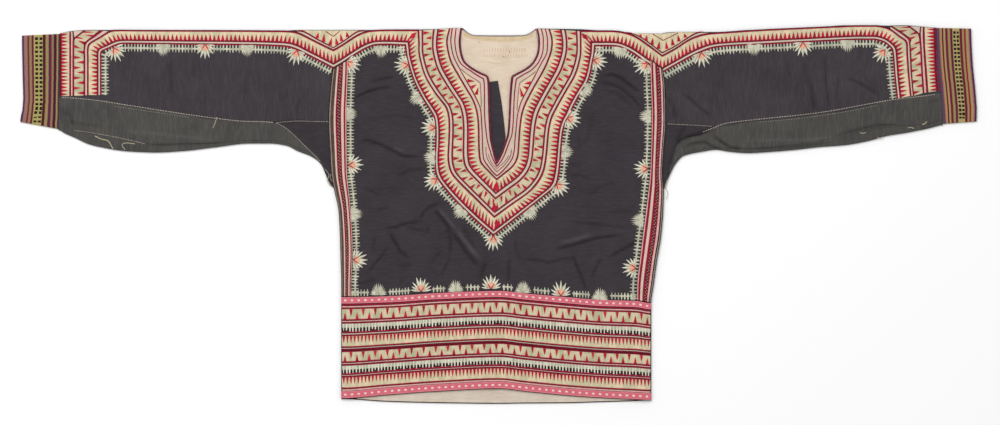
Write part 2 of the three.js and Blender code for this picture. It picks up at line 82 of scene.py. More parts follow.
def ends_of(pixels: Pixels) -> np.ndarray:
    """Returns the roots and the tips of stitches that are listed by a root and a tip each, as two sets."""
    return on_table(pixels).reshape(-1, 2, 2).swapaxes(0, 1)


def mix(a: np.ndarray, b: np.ndarray, t: np.ndarray) -> np.ndarray:
    """Returns the value a share t of the way from a to b."""
    return a + (b - a) * t


def ease(t: np.ndarray) -> np.ndarray:
    """Returns t held to 0..1 and rounded off at both ends."""
    s = np.clip(t, 0.0, 1.0)
    return s * s * (3.0 - 2.0 * s)


class Table:
    """A smooth curve through one column of a table against another, with no overshoot between rows."""

    def __init__(self, rows: Sequence[Sequence[float]], column: int = 1) -> None:
        """Fits the curve.

        Args:
            rows: The table's rows; the first column is what the curve is read at.
            column: Which column the curve gives.
        """
        ordered = np.asarray(sorted(rows), float)
        self.knots = ordered[:, 0]
        self.values = ordered[:, column]
        steps = np.diff(self.values) / np.diff(self.knots)
        before = np.append(0.0, steps)
        after = np.append(steps, 0.0)
        same_way = before * after > 0
        total = np.where(same_way, before + after, 1.0)
        self.slopes = np.where(same_way, 2.0 * before * after / total, 0.0)

    def __call__(self, at: np.ndarray) -> np.ndarray:
        """Returns the curve's value at each place."""
        t = np.clip(np.asarray(at, float), self.knots[0], self.knots[-1])
        i = np.clip(np.searchsorted(self.knots, t) - 1, 0, len(self.knots) - 2)
        span = self.knots[i + 1] - self.knots[i]
        s = (t - self.knots[i]) / span
        start = s * (1 - s) ** 2 * self.slopes[i] * span
        end = s * s * (s - 1) * self.slopes[i + 1] * span
        return mix(self.values[i], self.values[i + 1], s * s * (3 - 2 * s)) + start + end


def spline(points: Places, per_span: int) -> Places:
    """Draws a uniform Catmull-Rom curve through points.

    Args:
        points: The points.
        per_span: Steps between two points.

    Returns:
        The curve's points, ends included.
    """
    p = np.asarray(points, float)
    padded = np.vstack([p[:1], p, p[-1:]])
    s = np.linspace(0, 1, per_span, endpoint=False)[:, None]
    spans = []
    for a, b, c, d in zip(padded, padded[1:], padded[2:], padded[3:]):
        slope_b = (c - a) / 2
        slope_c = (d - b) / 2
        cubic = (2 * b - 2 * c + slope_b + slope_c) * s**3
        square = (3 * c - 3 * b - 2 * slope_b - slope_c) * s**2
        spans.append(cubic + square + slope_b * s + b)
    return np.vstack([*spans, p[-1:]])


def along(points: Places) -> np.ndarray:
    """Returns the distance along a line at each of its points."""
    steps = np.linalg.norm(np.diff(points, axis=0), axis=1)
    return np.append(0.0, np.cumsum(steps))


def resample(points: Places, count: int, corners: Places | None = None) -> Places:
    """Sets a number of evenly spaced points along a line.

    Args:
        points: The line.
        count: Points wanted.
        corners: Sharp corners, each of which the nearest point is moved to.

    Returns:
        The new points.
    """
    distance = along(points)
    wanted = np.linspace(0, distance[-1], count)
    placed = np.stack([np.interp(wanted, distance, points[:, k]) for k in range(points.shape[1])], axis=1)
    for corner in corners if corners is not None else []:
        placed[np.argmin(np.linalg.norm(placed - corner, axis=1))] = corner
    return placed


def patch(top: Places, bottom: Places, left: Places, right: Places) -> Places:
    """Fills four border lines with a smooth grid.

    Args:
        top: First row of the grid, from left to right.
        bottom: Last row, from left to right.
        left: First column, from top to bottom.
        right: Last column, from top to bottom.

    Returns:
        The grid, rows by columns by 2.
    """
    v = np.linspace(0, 1, len(left))[:, None, None]
    u = np.linspace(0, 1, len(top))[None, :, None]
    rows = (1 - v) * top[None] + v * bottom[None]
    columns = (1 - u) * left[:, None] + u * right[:, None]
    corners = (1 - v) * ((1 - u) * top[0] + u * top[-1]) + v * ((1 - u) * bottom[0] + u * bottom[-1])
    return rows + columns - corners


@dataclass(frozen=True)
class Crease:
    """A fold along a line of pixels: a ridge where its rise is over 0, otherwise a trough."""

    line: Pixels
    width: float
    rise: float

    def height(self, x: np.ndarray, y: np.ndarray) -> np.ndarray:
        """Returns how far the fold lifts the cloth at each place, dying out at its ends."""
        line = on_table(self.line)
        reach = 3 * self.width
        low, high = line.min(axis=0) - reach, line.max(axis=0) + reach
        near = (x > low[0]) & (x < high[0]) & (y > low[1]) & (y < high[1])
        lift = np.zeros(np.shape(x))
        if not near.any():
            return lift
        places = np.stack([x[near], y[near]], axis=-1)
        away = np.full(len(places), np.inf)
        share = np.zeros(len(places))
        starts = along(line)
        for a, b, start in zip(line, line[1:], starts):
            t = np.clip((places - a) @ (b - a) / ((b - a) @ (b - a)), 0, 1)
            gap = np.linalg.norm(places - a - t[:, None] * (b - a), axis=1)
            share = np.where(gap < away, (start + t * np.linalg.norm(b - a)) / starts[-1], share)
            away = np.minimum(away, gap)
        fading = ease(5 * share) * ease(5 * (1 - share)) * 0.8 + 0.2
        lift[near] = self.rise * fading * np.exp(-((away / self.width) ** 2))
        return lift


# Each fold as its width, its rise and its line.
SOFT_FOLDS = tuple(Crease(row[2:], *row[:2]) for row in (
    (7, -0.9, 353.8, 103.8, 398.5, 87.8), (8, -0.7, 359.8, 139.8, 423.8, 157.2),
    (7, 0.8, 385.2, 231.8, 429.2, 222.5), (7, -0.7, 389.2, 235.2, 407.8, 258.5),
    (8, -1.0, 434.5, 210.5, 470.5, 254.5), (8, 0.9, 454.5, 219.8, 486.5, 269.2),
    (8, 1.0, 555.8, 249.2, 633.8, 230.5), (7, -0.8, 573.2, 249.8, 585.2, 279.8),
    (8, -0.9, 599.8, 74.5, 639.8, 105.2), (8, -0.5, 686.5, 93.2, 715.2, 118.5),
    (8, 0.9, 673.2, 142.5, 713.2, 139.8), (7, -0.5, 719.8, 135.8, 746.5, 145.2),
    (7, -0.5, 850.5, 79.8, 877.2, 93.2), (7, 0.6, 71.8, 131.8, 151.8, 146.5),
    (9, 0.7, 185.2, 137.2, 258.5, 135.8), (6, 1.0, 23.8, 107.8, 55.8, 109.2),
    (6, 0.8, 943.8, 113.2, 975.8, 114.5),
))
# Sharp creases, which also paint a line into the cloth's colour: painted shade along a trough, and along a
# ridge a paler line that is partly wear and partly painted highlight.
CREASES = tuple(Crease(row[2:], *row[:2]) for row in (
    (2.2, -0.8, 352, 99, 361, 94.5, 370, 91, 380, 88, 393, 87), (2.4, -0.45, 370, 81.5, 382, 79, 394, 76.5),
    (2.2, -0.25, 385, 97.5, 402, 97.5),
    (2.4, -0.8, 357, 141, 367, 140, 379, 144, 391, 149.5, 403, 156, 423, 157),
    (2.4, 0.3, 392, 147, 404, 152), (2.4, -0.45, 396, 176, 409, 170.5, 425, 168),
    (2.2, -0.4, 361, 188, 371, 190.5, 379, 196), (2, -0.2, 372, 189, 400, 189),
    (2.4, -0.3, 366, 208, 379, 209.5, 392, 207), (3, -0.2, 366, 120, 392, 116, 418, 118),
    (2.6, -0.55, 420, 221, 423, 213, 429, 207.5, 440, 201.5),
    (2.4, -0.75, 384, 228.5, 395, 227, 406, 223.5, 421, 221.5),
    (2.2, -0.45, 404, 226.5, 415, 229, 428, 232.5, 428, 224),
    (2.4, -0.75, 389, 232, 395, 242, 401, 252, 410, 258.5), (2.4, -0.5, 388, 247, 380, 258, 367, 273),
    (2.2, -0.35, 398, 266, 414, 265), (2.6, -0.7, 434, 209, 445, 222, 452, 231),
    (2.4, 0.4, 438, 208, 449, 221, 456, 230), (2.6, -0.85, 451, 231, 458, 240, 467, 253, 479, 267),
    (2.6, 0.45, 456, 228, 463, 239, 473, 251, 480, 259), (2.4, -0.35, 462, 226, 470, 239, 477, 250),
    (2.4, -0.45, 447, 225, 450.5, 240, 450, 256), (2.4, -0.4, 441, 277, 446, 266, 450, 257),
    (2.4, -0.3, 430, 264, 438, 255, 441, 251), (2.4, -0.4, 357, 284, 367, 281.5, 377, 279),
    (2.6, -0.5, 486, 262, 480, 279), (2.4, -0.3, 403, 277, 399, 287), (2.6, -0.3, 375, 236, 373, 252),
    (2.4, -0.85, 603, 76, 612, 74.5, 621, 78, 631, 85.5, 641, 93),
    (2.4, -0.6, 597, 81.5, 610, 83.5, 621, 88, 633, 98, 643, 111), (3, -0.3, 606, 90, 620, 95, 634, 108),
    (2.2, -0.25, 567, 165, 583, 164.5), (2.2, -0.45, 569, 175.5, 580, 175, 592, 180),
    (2.2, -0.4, 609, 212, 633, 211), (2.2, -0.35, 567, 221, 590, 223.5, 619, 226.5, 636, 228.5),
    (2.4, -0.8, 553, 250, 570, 245.5, 585, 241.5, 598, 237.5, 622, 235),
    (2.6, 0.4, 560, 243, 577, 239, 592, 234), (3, -0.6, 638, 239.5, 630, 246, 619, 251, 609, 258),
    (2.2, -0.5, 519, 259, 536, 260, 548, 262.5, 563, 259, 577, 257),
    (2.4, -0.6, 572, 254, 577, 266, 582, 278, 587, 291), (2.4, -0.45, 602, 257, 596, 267, 592, 278),
    (2.6, -0.45, 509, 258, 508, 282), (2.6, -0.3, 515, 238, 516, 250, 521, 262),
    (3.5, -0.25, 588, 196, 600, 188, 616, 182), (3, -0.2, 594, 112, 590, 128, 586, 144),
    (3, -0.2, 578, 136, 580, 152), (4.5, -0.3, 171, 56, 170, 76, 172, 97), (4, -0.2, 148, 72, 149, 96),
    (3, -0.2, 195, 58, 194, 78), (4, -0.15, 246, 76, 246, 96), (3, -0.25, 309, 88, 300, 100, 296, 112),
    (3, -0.2, 290, 90, 282, 100), (2.4, -0.5, 682, 92, 690, 98.5, 699, 107, 713, 117.5),
    (4, -0.35, 667, 96, 674, 108, 677, 121), (2, -0.5, 824.5, 50, 825.5, 78, 829.5, 112),
    (3.5, -0.4, 808, 76, 812, 92, 815, 112), (3, -0.25, 786, 60, 790, 78), (3, -0.3, 839, 76, 836, 102),
    (3, -0.2, 803, 62, 806, 74), (2, -0.5, 845, 78, 856, 81, 867, 87, 879, 95),
    (2, -0.25, 862, 72, 867, 81), (3, -0.7, 674, 146, 681, 140, 691, 136, 703, 132.5, 714, 129),
    (2.6, -0.7, 712, 134, 722, 142, 730, 147, 744, 149),
    (2.6, -0.6, 684, 147, 694, 143, 705, 142, 714, 147, 724, 151), (4, -0.4, 670, 168, 672, 158, 677, 148),
    (3, -0.4, 686, 126, 680, 134, 676, 142), (2, -0.5, 744, 149.5, 780, 147.5, 822, 144, 840, 142.5),
    (2.2, -0.4, 836, 134.5, 857, 129, 875, 125, 902, 124.5), (2.2, -0.3, 925, 104, 941, 98),
    (2, -0.5, 146, 144.6, 172, 145, 205, 144, 228, 142), (2.4, -0.3, 66, 121, 80, 124, 104, 127),
    (3, -0.3, 60, 108, 70, 116, 74, 126), (2, 0.3, 110, 130, 160, 134, 215, 140),
    (2, 0.35, 746, 140.5, 800, 140, 838, 137),
))
# How strongly a crease's rise is painted into the cloth's colour, as shade or highlight.
SHADE_PER_RISE = 1.6


@dataclass(frozen=True)
class Cloth:
    """Thicknesses and heights of the layers, and the curves of the body, as the CAD part has them."""

    cotton: float = 1.2
    band: float = 1.5
    lining: float = 1.0
    tape: float = 1.0
    gap: float = 0.3
    curved_gap: float = 0.5
    sleeve_top: float = 3.6
    edge_top: float = 2.7
    front_top: float = 4.2
    neck_rise: float = 1.7
    hem_edge_top: float = 3.3
    hem_top: float = 4.8
    ridge_rise: float = 1.3
    roll: float = 12.0
    seam_slope: float = 40.0
    armpit: float = 36.0


CLOTH = Cloth()
BODY_SIDES = (
    (281, -246.5, 245), (232, -247.5, 245.5), (190, -252, 250), (140, -255, 251), (97, -253, 248),
    (59, -250.5, 246), (34, -246, 248), (4, -240, 247), (-32, -238, 244), (-68, -237, 238),
    (-104, -236, 233), (-134, -236, 229), (-284, -236, 229),
)
SHOULDER = (
    (-256, 277), (-160, 277), (-104, 278), (-53, 280), (56, 279), (122, 278), (166, 275), (212, 272),
    (251, 271.5),
)
HEM = (
    (-236, -123.5, -276.5, -277), (-166, -122, -271, -281), (-88, -117, -265.5, -283),
    (2, -114, -261.5, -284), (38, -117.5, -265.5, -283.5), (104, -123.5, -272, -283),
    (155, -127.5, -275.5, -281.5), (205, -129, -278, -280), (229, -132.5, -279, -279),
)
SIDE_STRIPS = ((220, -226, 228), (150, -228, 230), (68, -227.5, 228), (20, -223, 223), (-53, -219, 214),
               (-113, -221, 208))
STRIP_TOPS = (219.0, 233.0)  # height of a strip's head at the armhole and at its inner edge
NECK_LEFT = ((-54, 280), (-58.5, 253.5), (-52, 230.5), (-29, 212), (-17, 208.5), (-14, 169.5),
             (-9.5, 108), (-2.5, 78.5))
NECK_RIGHT = ((55.5, 278.5), (59.5, 253.5), (56.5, 235), (35, 215), (22.5, 208.5), (17.5, 169.5),
              (12, 112.5), (-2.5, 78.5))
NECK_CORNER = 4  # which neck point is the corner between the hole and the slit
NECK_STEPS = 12  # steps from one neck point to the next
# Heights at which the sides are read for the ends of the shoulder, the strips, the waist and the hem.
SHOULDER_Y = 278.0
STRIP_Y = -120.0
WAIST_Y = -125.0
HEM_Y = -200.0
BACK_NECK = ((-54, 280), (-41.5, 270.5), (-22, 269), (26, 269), (43, 270.5), (55.5, 278.5))
TAPE_TOP = (0.004, 0.066)
TAPE_BOTTOM = (0.925, 0.993)

body_left = Table(BODY_SIDES, 1)
body_right = Table(BODY_SIDES, 2)
shoulder = Table(SHOULDER)
waist = Table(HEM, 1)
front_hem = Table(HEM, 2)
back_hem = Table(HEM, 3)
strip_left = Table(SIDE_STRIPS, 1)
strip_right = Table(SIDE_STRIPS, 2)
# Each strip's edge at the armhole and its inner edge.
STRIP_EDGES = {"left": (body_left, strip_left), "right": (body_right, strip_right)}


def relief(x: np.ndarray, y: np.ndarray) -> np.ndarray:
    """Returns the sum of the folds and creases at each place."""
    x, y = np.broadcast_arrays(np.asarray(x, float), np.asarray(y, float))
    return sum(fold.height(x, y) for fold in SOFT_FOLDS + CREASES)


def crease_shade_and_highlight(x: np.ndarray, y: np.ndarray) -> np.ndarray:
    """Returns the colour the creases paint on the cloth at each place: below 0 painted shade in a trough,
    above 0 a paler line on a ridge, partly wear and partly painted highlight.
    """
    return np.clip(SHADE_PER_RISE * sum(crease.height(x, y) for crease in CREASES), -1.0, 1.0)


def ridge(x: np.ndarray, y: np.ndarray) -> np.ndarray:
    """Returns the soft fold that runs down the middle of the hem and fades into the front."""
    above = np.maximum(y - waist(x), 0.0)
    return CLOTH.ridge_rise * np.exp(-above / 45) * np.exp(-((x / 42) ** 2))


def front_height(x: np.ndarray, y: np.ndarray) -> np.ndarray:
    """Returns the height of the front's upper surface."""
    side = np.minimum(x - body_left(y), body_right(y) - x)
    inwards = ease(side / CLOTH.seam_slope)
    sewn = ease((y - CLOTH.armpit) / 20)
    at_seam = mix(CLOTH.sleeve_top, CLOTH.front_top, inwards)
    neck = CLOTH.neck_rise * np.exp(-((x / 85) ** 2) - ((y - 140) / 160) ** 2) * inwards
    flat = mix(CLOTH.front_top, at_seam, sewn) + neck + ridge(x, y)
    roll = ease((shoulder(x) - y) / CLOTH.roll) * mix(ease(side / CLOTH.roll), 1.0, sewn)
    return CLOTH.edge_top + (flat + relief(x, y) * inwards - CLOTH.edge_top) * roll


def hem_height(x: np.ndarray, y: np.ndarray) -> np.ndarray:
    """Returns the height of the front hem band's upper surface."""
    side = np.minimum(x - body_left(y), body_right(y) - x)
    return CLOTH.hem_edge_top + (CLOTH.hem_top + ridge(x, y) - CLOTH.hem_edge_top) * ease(side / CLOTH.roll)


@dataclass(frozen=True)
class SleevePlan:
    """One sleeve: its sections from cuff to armhole, where its small pieces taper, and its cuff."""

    side: str
    sections: tuple[tuple[float, ...], ...]  # x, top, seam, strip, low, bottom
    armpit_start: float
    strip_end: float
    cuff: tuple[tuple[float, float, float], ...]  # y, seam, end
    cuff_edges: tuple[float, float, float, float]  # top at the seam and end, bottom at the seam and end
    armhole: Table

    @property
    def way(self) -> int:
        """+1 on the right sleeve and -1 on the left."""
        return 1 if self.side == "right" else -1

    @property
    def cuff_x(self) -> float:
        """X of the section at the cuff."""
        return self.way * max(abs(row[0]) for row in self.sections)

    @property
    def arm_x(self) -> float:
        """X of the section at the armhole."""
        return self.way * min(abs(row[0]) for row in self.sections)

    def column(self, name: str) -> Table:
        """Returns the curve of one column of the sections along the sleeve."""
        return Table(self.sections, ("x", "top", "seam", "strip", "low", "bottom").index(name))

    def place(self, x: np.ndarray, y: np.ndarray) -> np.ndarray:
        """Returns a section's x once it is fitted to the slanting cuff seam and to the armhole."""
        near_cuff = ease(1 - np.abs(x - self.cuff_x) / 60)
        near_arm = ease(1 - np.abs(x - self.arm_x) / 24)
        at_cuff = Table(self.cuff, 1)(y) - self.way * CLOTH.curved_gap - self.cuff_x
        at_arm = self.armhole(y) + self.way * CLOTH.curved_gap - self.arm_x
        return x + near_cuff * at_cuff + near_arm * at_arm

    def height(self, x: np.ndarray, y: np.ndarray) -> np.ndarray:
        """Returns the height of the sleeve's upper surface."""
        edge = np.minimum(self.column("top")(x) - y, y - self.column("bottom")(x))
        return CLOTH.sleeve_top + relief(x, y) * ease(edge / CLOTH.roll)


LEFT = SleevePlan(
    side="left",
    sections=(
        (-658, 272, 175, 175, 146, 127), (-649, 274, 175, 175, 136, 122), (-634, 276, 174, 174, 126, 115),
        (-613, 277, 173, 173, 122, 105), (-592, 277, 172.5, 172.5, 118, 100), (-568, 277, 166, 166, 115, 96),
        (-545, 277, 161, 161, 110, 94), (-514, 277, 157, 157, 105, 93), (-475, 277, 151, 151, 106, 95),
        (-427, 277, 142.5, 142.5, 107, 100.5), (-373, 276, 140, 140, 111, 106.5),
        (-343, 275, 139, 139, 111, 106.5), (-319, 276, 141, 130, 108, 103.5),
        (-301, 277, 142, 112.5, 100, 95), (-281, 277, 141, 96, 91.5, 87), (-265, 277, 139.5, 79.5, 79, 74),
        (-251, 277, 139, 44.5, 44, 40),
    ),
    armpit_start=-338,
    strip_end=-268,
    cuff=((270, -658.5, -715), (211, -659, -714), (164, -660, -713), (147, -660, -717), (128, -661, -718)),
    cuff_edges=(271, 268.5, 128.5, 139),
    armhole=body_left,
)
RIGHT = SleevePlan(
    side="right",
    sections=(
        (248, 272, 136, 43.5, 43, 38), (254, 273, 135.5, 55.5, 55, 50), (266, 274, 134.5, 101, 80, 76),
        (278, 274, 134, 114, 92, 88), (305, 274, 132.5, 120, 98, 94), (326, 274, 131, 131, 101, 97),
        (347, 275, 134, 134, 99, 94), (374, 277, 139, 139, 99, 92), (410, 278, 142, 142, 101, 94),
        (446, 280, 146, 146, 105, 97), (482, 281.5, 151.5, 151.5, 110, 101),
        (520, 284, 155.5, 155.5, 121.5, 104), (554, 284, 163.5, 163.5, 131, 110),
        (584, 283.5, 172, 172, 135, 118), (608, 284, 176, 176, 133.5, 122), (637, 282, 180, 180, 136.5, 129),
        (656, 280.5, 182.5, 182.5, 142, 134),
    ),
    armpit_start=321,
    strip_end=257,
    cuff=((280, 657, 709), (232, 659, 711), (179, 664, 716), (154, 666, 717.6), (137, 667, 717)),
    cuff_edges=(280, 279, 136, 139.5),
    armhole=body_right,
)


def cloth_height(x: np.ndarray, y: np.ndarray) -> np.ndarray:
    """Returns the height of the uppermost cloth at each place, without the strips and tapes."""
    body = np.where(y < waist(x), hem_height(x, y), front_height(x, y))
    height = np.where(x < body_left(y), LEFT.height(x, y), body)
    return np.where(x > body_right(y), RIGHT.height(x, y), height)


# ---------------------------------------------------------------- materials


def linear(colour: str) -> tuple[float, float, float, float]:
    """Turns an sRGB hex colour into linear light.

    Args:
        colour: Six hex digits, with or without a hash sign.

    Returns:
        Red, green, blue and an alpha of 1.
    """
    digits = colour.lstrip("#")
    parts = [int(digits[i : i + 2], 16) / 255 for i in (0, 2, 4)]
    return (*[c / 12.92 if c <= 0.04045 else ((c + 0.055) / 1.055) ** 2.4 for c in parts], 1.0)


class Paint:
    """A new material and its node tree."""

    def __init__(self, name: str) -> None:
        """Makes a material that holds a surface shader alone."""
        self.material = bpy.data.materials.new(name)
        self.material.use_nodes = True
        self.tree = self.material.node_tree
        self.tree.nodes.clear()
        self.shader = self.add("BsdfPrincipled")
        self.add("OutputMaterial", {"Surface": self.shader})

    def add(self, kind: str, inputs: dict | None = None, **settings: object) -> bpy.types.Node:
        """Adds a node.

        Args:
            kind: The node's type.
            inputs: A value, a node or an output for each input, by name or number.
            settings: Values of the node's own properties.

        Returns:
            The node.
        """
        node = self.tree.nodes.new("ShaderNode" + kind)
        for name, value in settings.items():
            setattr(node, name, value)
        return self.fill(node, inputs or {})

    def fill(self, node: bpy.types.Node, inputs: dict) -> bpy.types.Node:
        """Sets or links a node's inputs and returns the node."""
        for name, value in inputs.items():
            value = value.outputs[0] if isinstance(value, bpy.types.Node) else value
            if isinstance(value, bpy.types.NodeSocket):
                self.tree.links.new(value, node.inputs[name])
            else:
                node.inputs[name].default_value = value
        return node

    def layered(self, colour: object, *layers: tuple[object, str]) -> object:
        """Lays colours over the first one, each by its own share, and returns the last output."""
        for share, upper in layers:
            colour = self.add("Mix", {0: share, 6: colour, 7: linear(upper)}, data_type="RGBA").outputs[2]
        return colour

    def spread(
        self, value: object, low: float, high: float, at_low: float, at_high: float
    ) -> bpy.types.Node:
        """Returns a value moved from one range to another and held to it."""
        ends = {"From Min": low, "From Max": high, "To Min": at_low, "To Max": at_high}
        return self.add("MapRange", {"Value": value, **ends})

    def wave(self, place: object, length: float) -> bpy.types.Node:
        """Returns a sine wave of a length along a coordinate."""
        turns = self.add("Math", {0: place, 1: 2 * math.pi / length}, operation="MULTIPLY")
        return self.add("Math", {0: turns}, operation="SINE")

    def finished(
        self, colour: object, height: object, bump: float, depth: float, **values: float
    ) -> bpy.types.Material:
        """Dresses the surface and returns the material.

        Args:
            colour: Its colour.
            height: Output that raises it.
            bump: How strongly.
            depth: How far, in millimetres.
            values: The shader's other values, with low lines for spaces.

        Returns:
            The material.
        """
        normal = self.add("Bump", {"Height": height, "Strength": bump, "Distance": depth * MM})
        self.fill(self.shader, {"Base Color": colour, "Normal": normal})
        self.fill(self.shader, {name.replace("_", " "): value for name, value in values.items()})
        return self.material


@dataclass(frozen=True)
class WovenCotton:
    """Plain-woven cotton: matt, with crossing threads, slubs, soft patches, painted shade in its creases and
    paler ridges that are partly wear and partly painted highlight.
    """

    name: str
    ground: str
    patch: str
    slub: str
    thread: float = 1.6  # millimetres between threads, twice the real spacing, so that it shows
    patch_size: float = 60.0
    slub_share: float = 0.35
    slant: float = 0.0

    def build(self) -> bpy.types.Material:
        """Returns the material."""
        paint = Paint(self.name)
        place = paint.add("TexCoord").outputs["Object"]
        turned = paint.add("Mapping", {"Vector": place, "Rotation": (0, 0, self.slant)})
        split = paint.add("SeparateXYZ", {0: turned})
        wobble = paint.add("TexNoise", {"Vector": turned, "Scale": 90.0, "Detail": 2.0})
        thread = self.thread * MM
        across, down = (
            paint.wave(paint.add("Math", {0: wobble, 1: 1.2 * thread, 2: axis}, operation="MULTIPLY_ADD"),
                       thread)
            for axis in (split.outputs[0], split.outputs[1])
        )
        weave = paint.add("Math", {0: across, 1: down}, operation="MULTIPLY")
        drawn = paint.add("Mapping", {"Vector": turned, "Scale": (0.16, 1.0, 1.0)})
        slubs = paint.add("TexNoise", {"Vector": drawn, "Scale": 420.0, "Detail": 3.0, "Roughness": 0.6})
        patches = paint.add("TexNoise", {"Vector": place, "Scale": 1000.0 / self.patch_size, "Detail": 4.0,
                                         "Roughness": 0.62})
        # Painted shade and highlight: the tint attribute darkens crease troughs towards near black and
        # lightens ridges, partly as wear and partly as painted highlight.
        tint = paint.add("Attribute", attribute_name="tint").outputs["Fac"]
        layers = ((patches, 0.36, 0.66, 0.7, self.patch), (slubs, 0.45, 0.72, self.slub_share, self.slub),
                  (tint, 0.0, -1.0, 0.5, "#100f11"), (tint, 0.0, 1.0, 0.2, "#857f84"))
        colour = paint.layered(linear(self.ground), *(
            (paint.spread(value, low, high, 0.0, share), upper) for value, low, high, share, upper in layers
        ))
        fine = paint.add("Math", {0: slubs, 1: 1.4, 2: weave}, operation="MULTIPLY_ADD")
        return paint.finished(colour, fine, 0.35, 0.25, Roughness=0.95, Specular_IOR_Level=0.06,
                              Sheen_Weight=0.02, Sheen_Roughness=0.6)


@dataclass(frozen=True)
class SilkFloss:
    """Silk floss laid side by side: a soft sheen, a ridge for each thread, painted shade in the grooves
    between threads and uneven dye.
    """

    name: str
    colour: str
    second: str
    spread: float = 0.5  # how strongly the second colour shows
    patch_size: float = 9.0
    thread: float = 1.1  # millimetres between threads, as coarse as shows
    bump: float = 0.5

    def build(self) -> bpy.types.Material:
        """Returns the material, which reads the stitches' own UV map and tint."""
        paint = Paint(self.name)
        place = paint.add("TexCoord").outputs["Object"]
        uv = paint.add("UVMap", uv_map="stitches")
        along_thread = paint.add("SeparateXYZ", {0: uv})
        tint = paint.add("Attribute", attribute_name="tint").outputs["Fac"]
        wobble = paint.add("TexNoise", {"Vector": uv, "Scale": 0.35, "Detail": 2.0})
        moved = paint.add("Math", {0: wobble, 1: 1.5, 2: along_thread}, operation="MULTIPLY_ADD")
        ridges = paint.wave(moved, self.thread)
        patches = paint.add("TexNoise", {"Vector": place, "Scale": 1000.0 / self.patch_size, "Detail": 2.0})
        lifted = paint.add("Math", {0: tint, 1: 0.45, 2: patches}, operation="MULTIPLY_ADD")
        dye = paint.spread(lifted, 0.55, 0.85, 0.0, self.spread)
        # Painted shade: the grooves between the thread ridges are darkened towards dark brown.
        painted_groove_shade = paint.spread(ridges, -1.0, 0.2, 0.22, 0.0)
        colour = paint.layered(linear(self.colour), (dye, self.second), (painted_groove_shade, "#2a1d1c"))
        return paint.finished(colour, ridges, self.bump, 0.3, Roughness=0.62, Specular_IOR_Level=0.12)


@dataclass(frozen=True)
class StripedWeave:
    """Warp-striped ribbon weave: stripes across its UV map, ribbed along each warp thread."""

    name: str
    stripes: Stripes
    rib: float = 2.0  # millimetres between weft ribs

    def build(self) -> bpy.types.Material:
        """Returns the material."""
        paint = Paint(self.name)
        uv = paint.add("UVMap", uv_map="stitches")
        split = paint.add("SeparateXYZ", {0: uv})
        wobble = paint.add("TexNoise", {"Vector": uv, "Scale": 0.12, "Detail": 3.0})
        centred = paint.add("Math", {0: wobble, 1: 0.5}, operation="SUBTRACT")
        moved = paint.add("Math", {0: centred, 1: 0.022, 2: split}, operation="MULTIPLY_ADD")
        ramp = paint.add("ValToRGB", {0: moved})
        stops = ramp.color_ramp.elements
        softness = 0.008
        stops.remove(stops[-1])
        stops[0].position = 0.0
        stops[0].color = linear(self.stripes[0][1])
        for (_, before), (start, colour) in zip(self.stripes, self.stripes[1:]):
            stops.new(start - softness).color = linear(before)
            stops.new(start + softness).color = linear(colour)
        drawn = paint.add("Mapping", {"Vector": uv, "Scale": (60, 0.9, 1)})
        grain = paint.add("TexNoise", {"Vector": drawn, "Scale": 1.0, "Detail": 3.0})
        shade = paint.spread(grain, 0.3, 0.7, 0.72, 1.12)
        grey = paint.add("CombineXYZ", {0: shade, 1: shade, 2: shade})
        both = paint.add("Mix", {0: 1.0, 6: ramp, 7: grey}, data_type="RGBA", blend_type="MULTIPLY")
        ribs = paint.wave(split.outputs[1], self.rib)
        return paint.finished(both.outputs[2], ribs, 0.5, 0.3, Roughness=0.85, Specular_IOR_Level=0.25)


class Thread(Enum):
    """The embroidery threads."""

    RED = SilkFloss("red_floss", "#c4213d", "#9c102c", 0.8)
    DARK_RED = SilkFloss("crimson_cord", "#a71d3b", "#861430", 0.6)
    MAROON = SilkFloss("maroon_cord", "#490b19", "#330b12", 0.6)
    PLUM = SilkFloss("plum_cord", "#7d3149", "#61243a", 0.7)
    CREAM = SilkFloss("cream_floss", "#e6d3b0", "#c6bf9c", 0.85)
    MINT = SilkFloss("mint_floss", "#bab792", "#e2ceb0", 0.8)
    SAGE = SilkFloss("sage_floss", "#d3d0ba", "#a6a993", 0.8)
    WHITE = SilkFloss("white_floss", "#ebe6d4", "#cdccb2", 0.6)
    ROSE = SilkFloss("rose_floss", "#eebab2", "#dba8a1", 0.8)
    PALE = SilkFloss("pale_floss", "#e3c2b6", "#d0c4ae", 0.8)
    PEACH = SilkFloss("peach_floss", "#e8b89a", "#e3a283", 0.6)
    BROWN = SilkFloss("brown_floss", "#5f463b", "#47352d", 0.6)
    GREY = SilkFloss("grey_floss", "#9a8f88", "#7f7872", 0.6)
    BLACK = SilkFloss("black_floss", "#14100f", "#201917", 0.5)
    SEAM = SilkFloss("seam_thread", "#9a8f86", "#b5a99c", 0.8)
    PINK = SilkFloss("pink_selvedge", "#e08e94", "#d27a84", 0.7)
    LINEN = SilkFloss("linen_thread", "#f2dcd4", "#e8d0c4", 0.6)
    LOOSE = SilkFloss("loose_cotton_thread", "#d6cbab", "#b9ae90", 0.6)
    FACING = SilkFloss("neck_facing", "#d5c09c", "#c7ae8a", 0.6, patch_size=14, thread=2.2, bump=0.25)
    BLUSH = SilkFloss("stitches_showing_through", "#d2b09b", "#cba78f", 0.6, bump=0.2)


INDIGO = WovenCotton("indigo_cotton", "#343034", "#3d383c", "#4a444a")
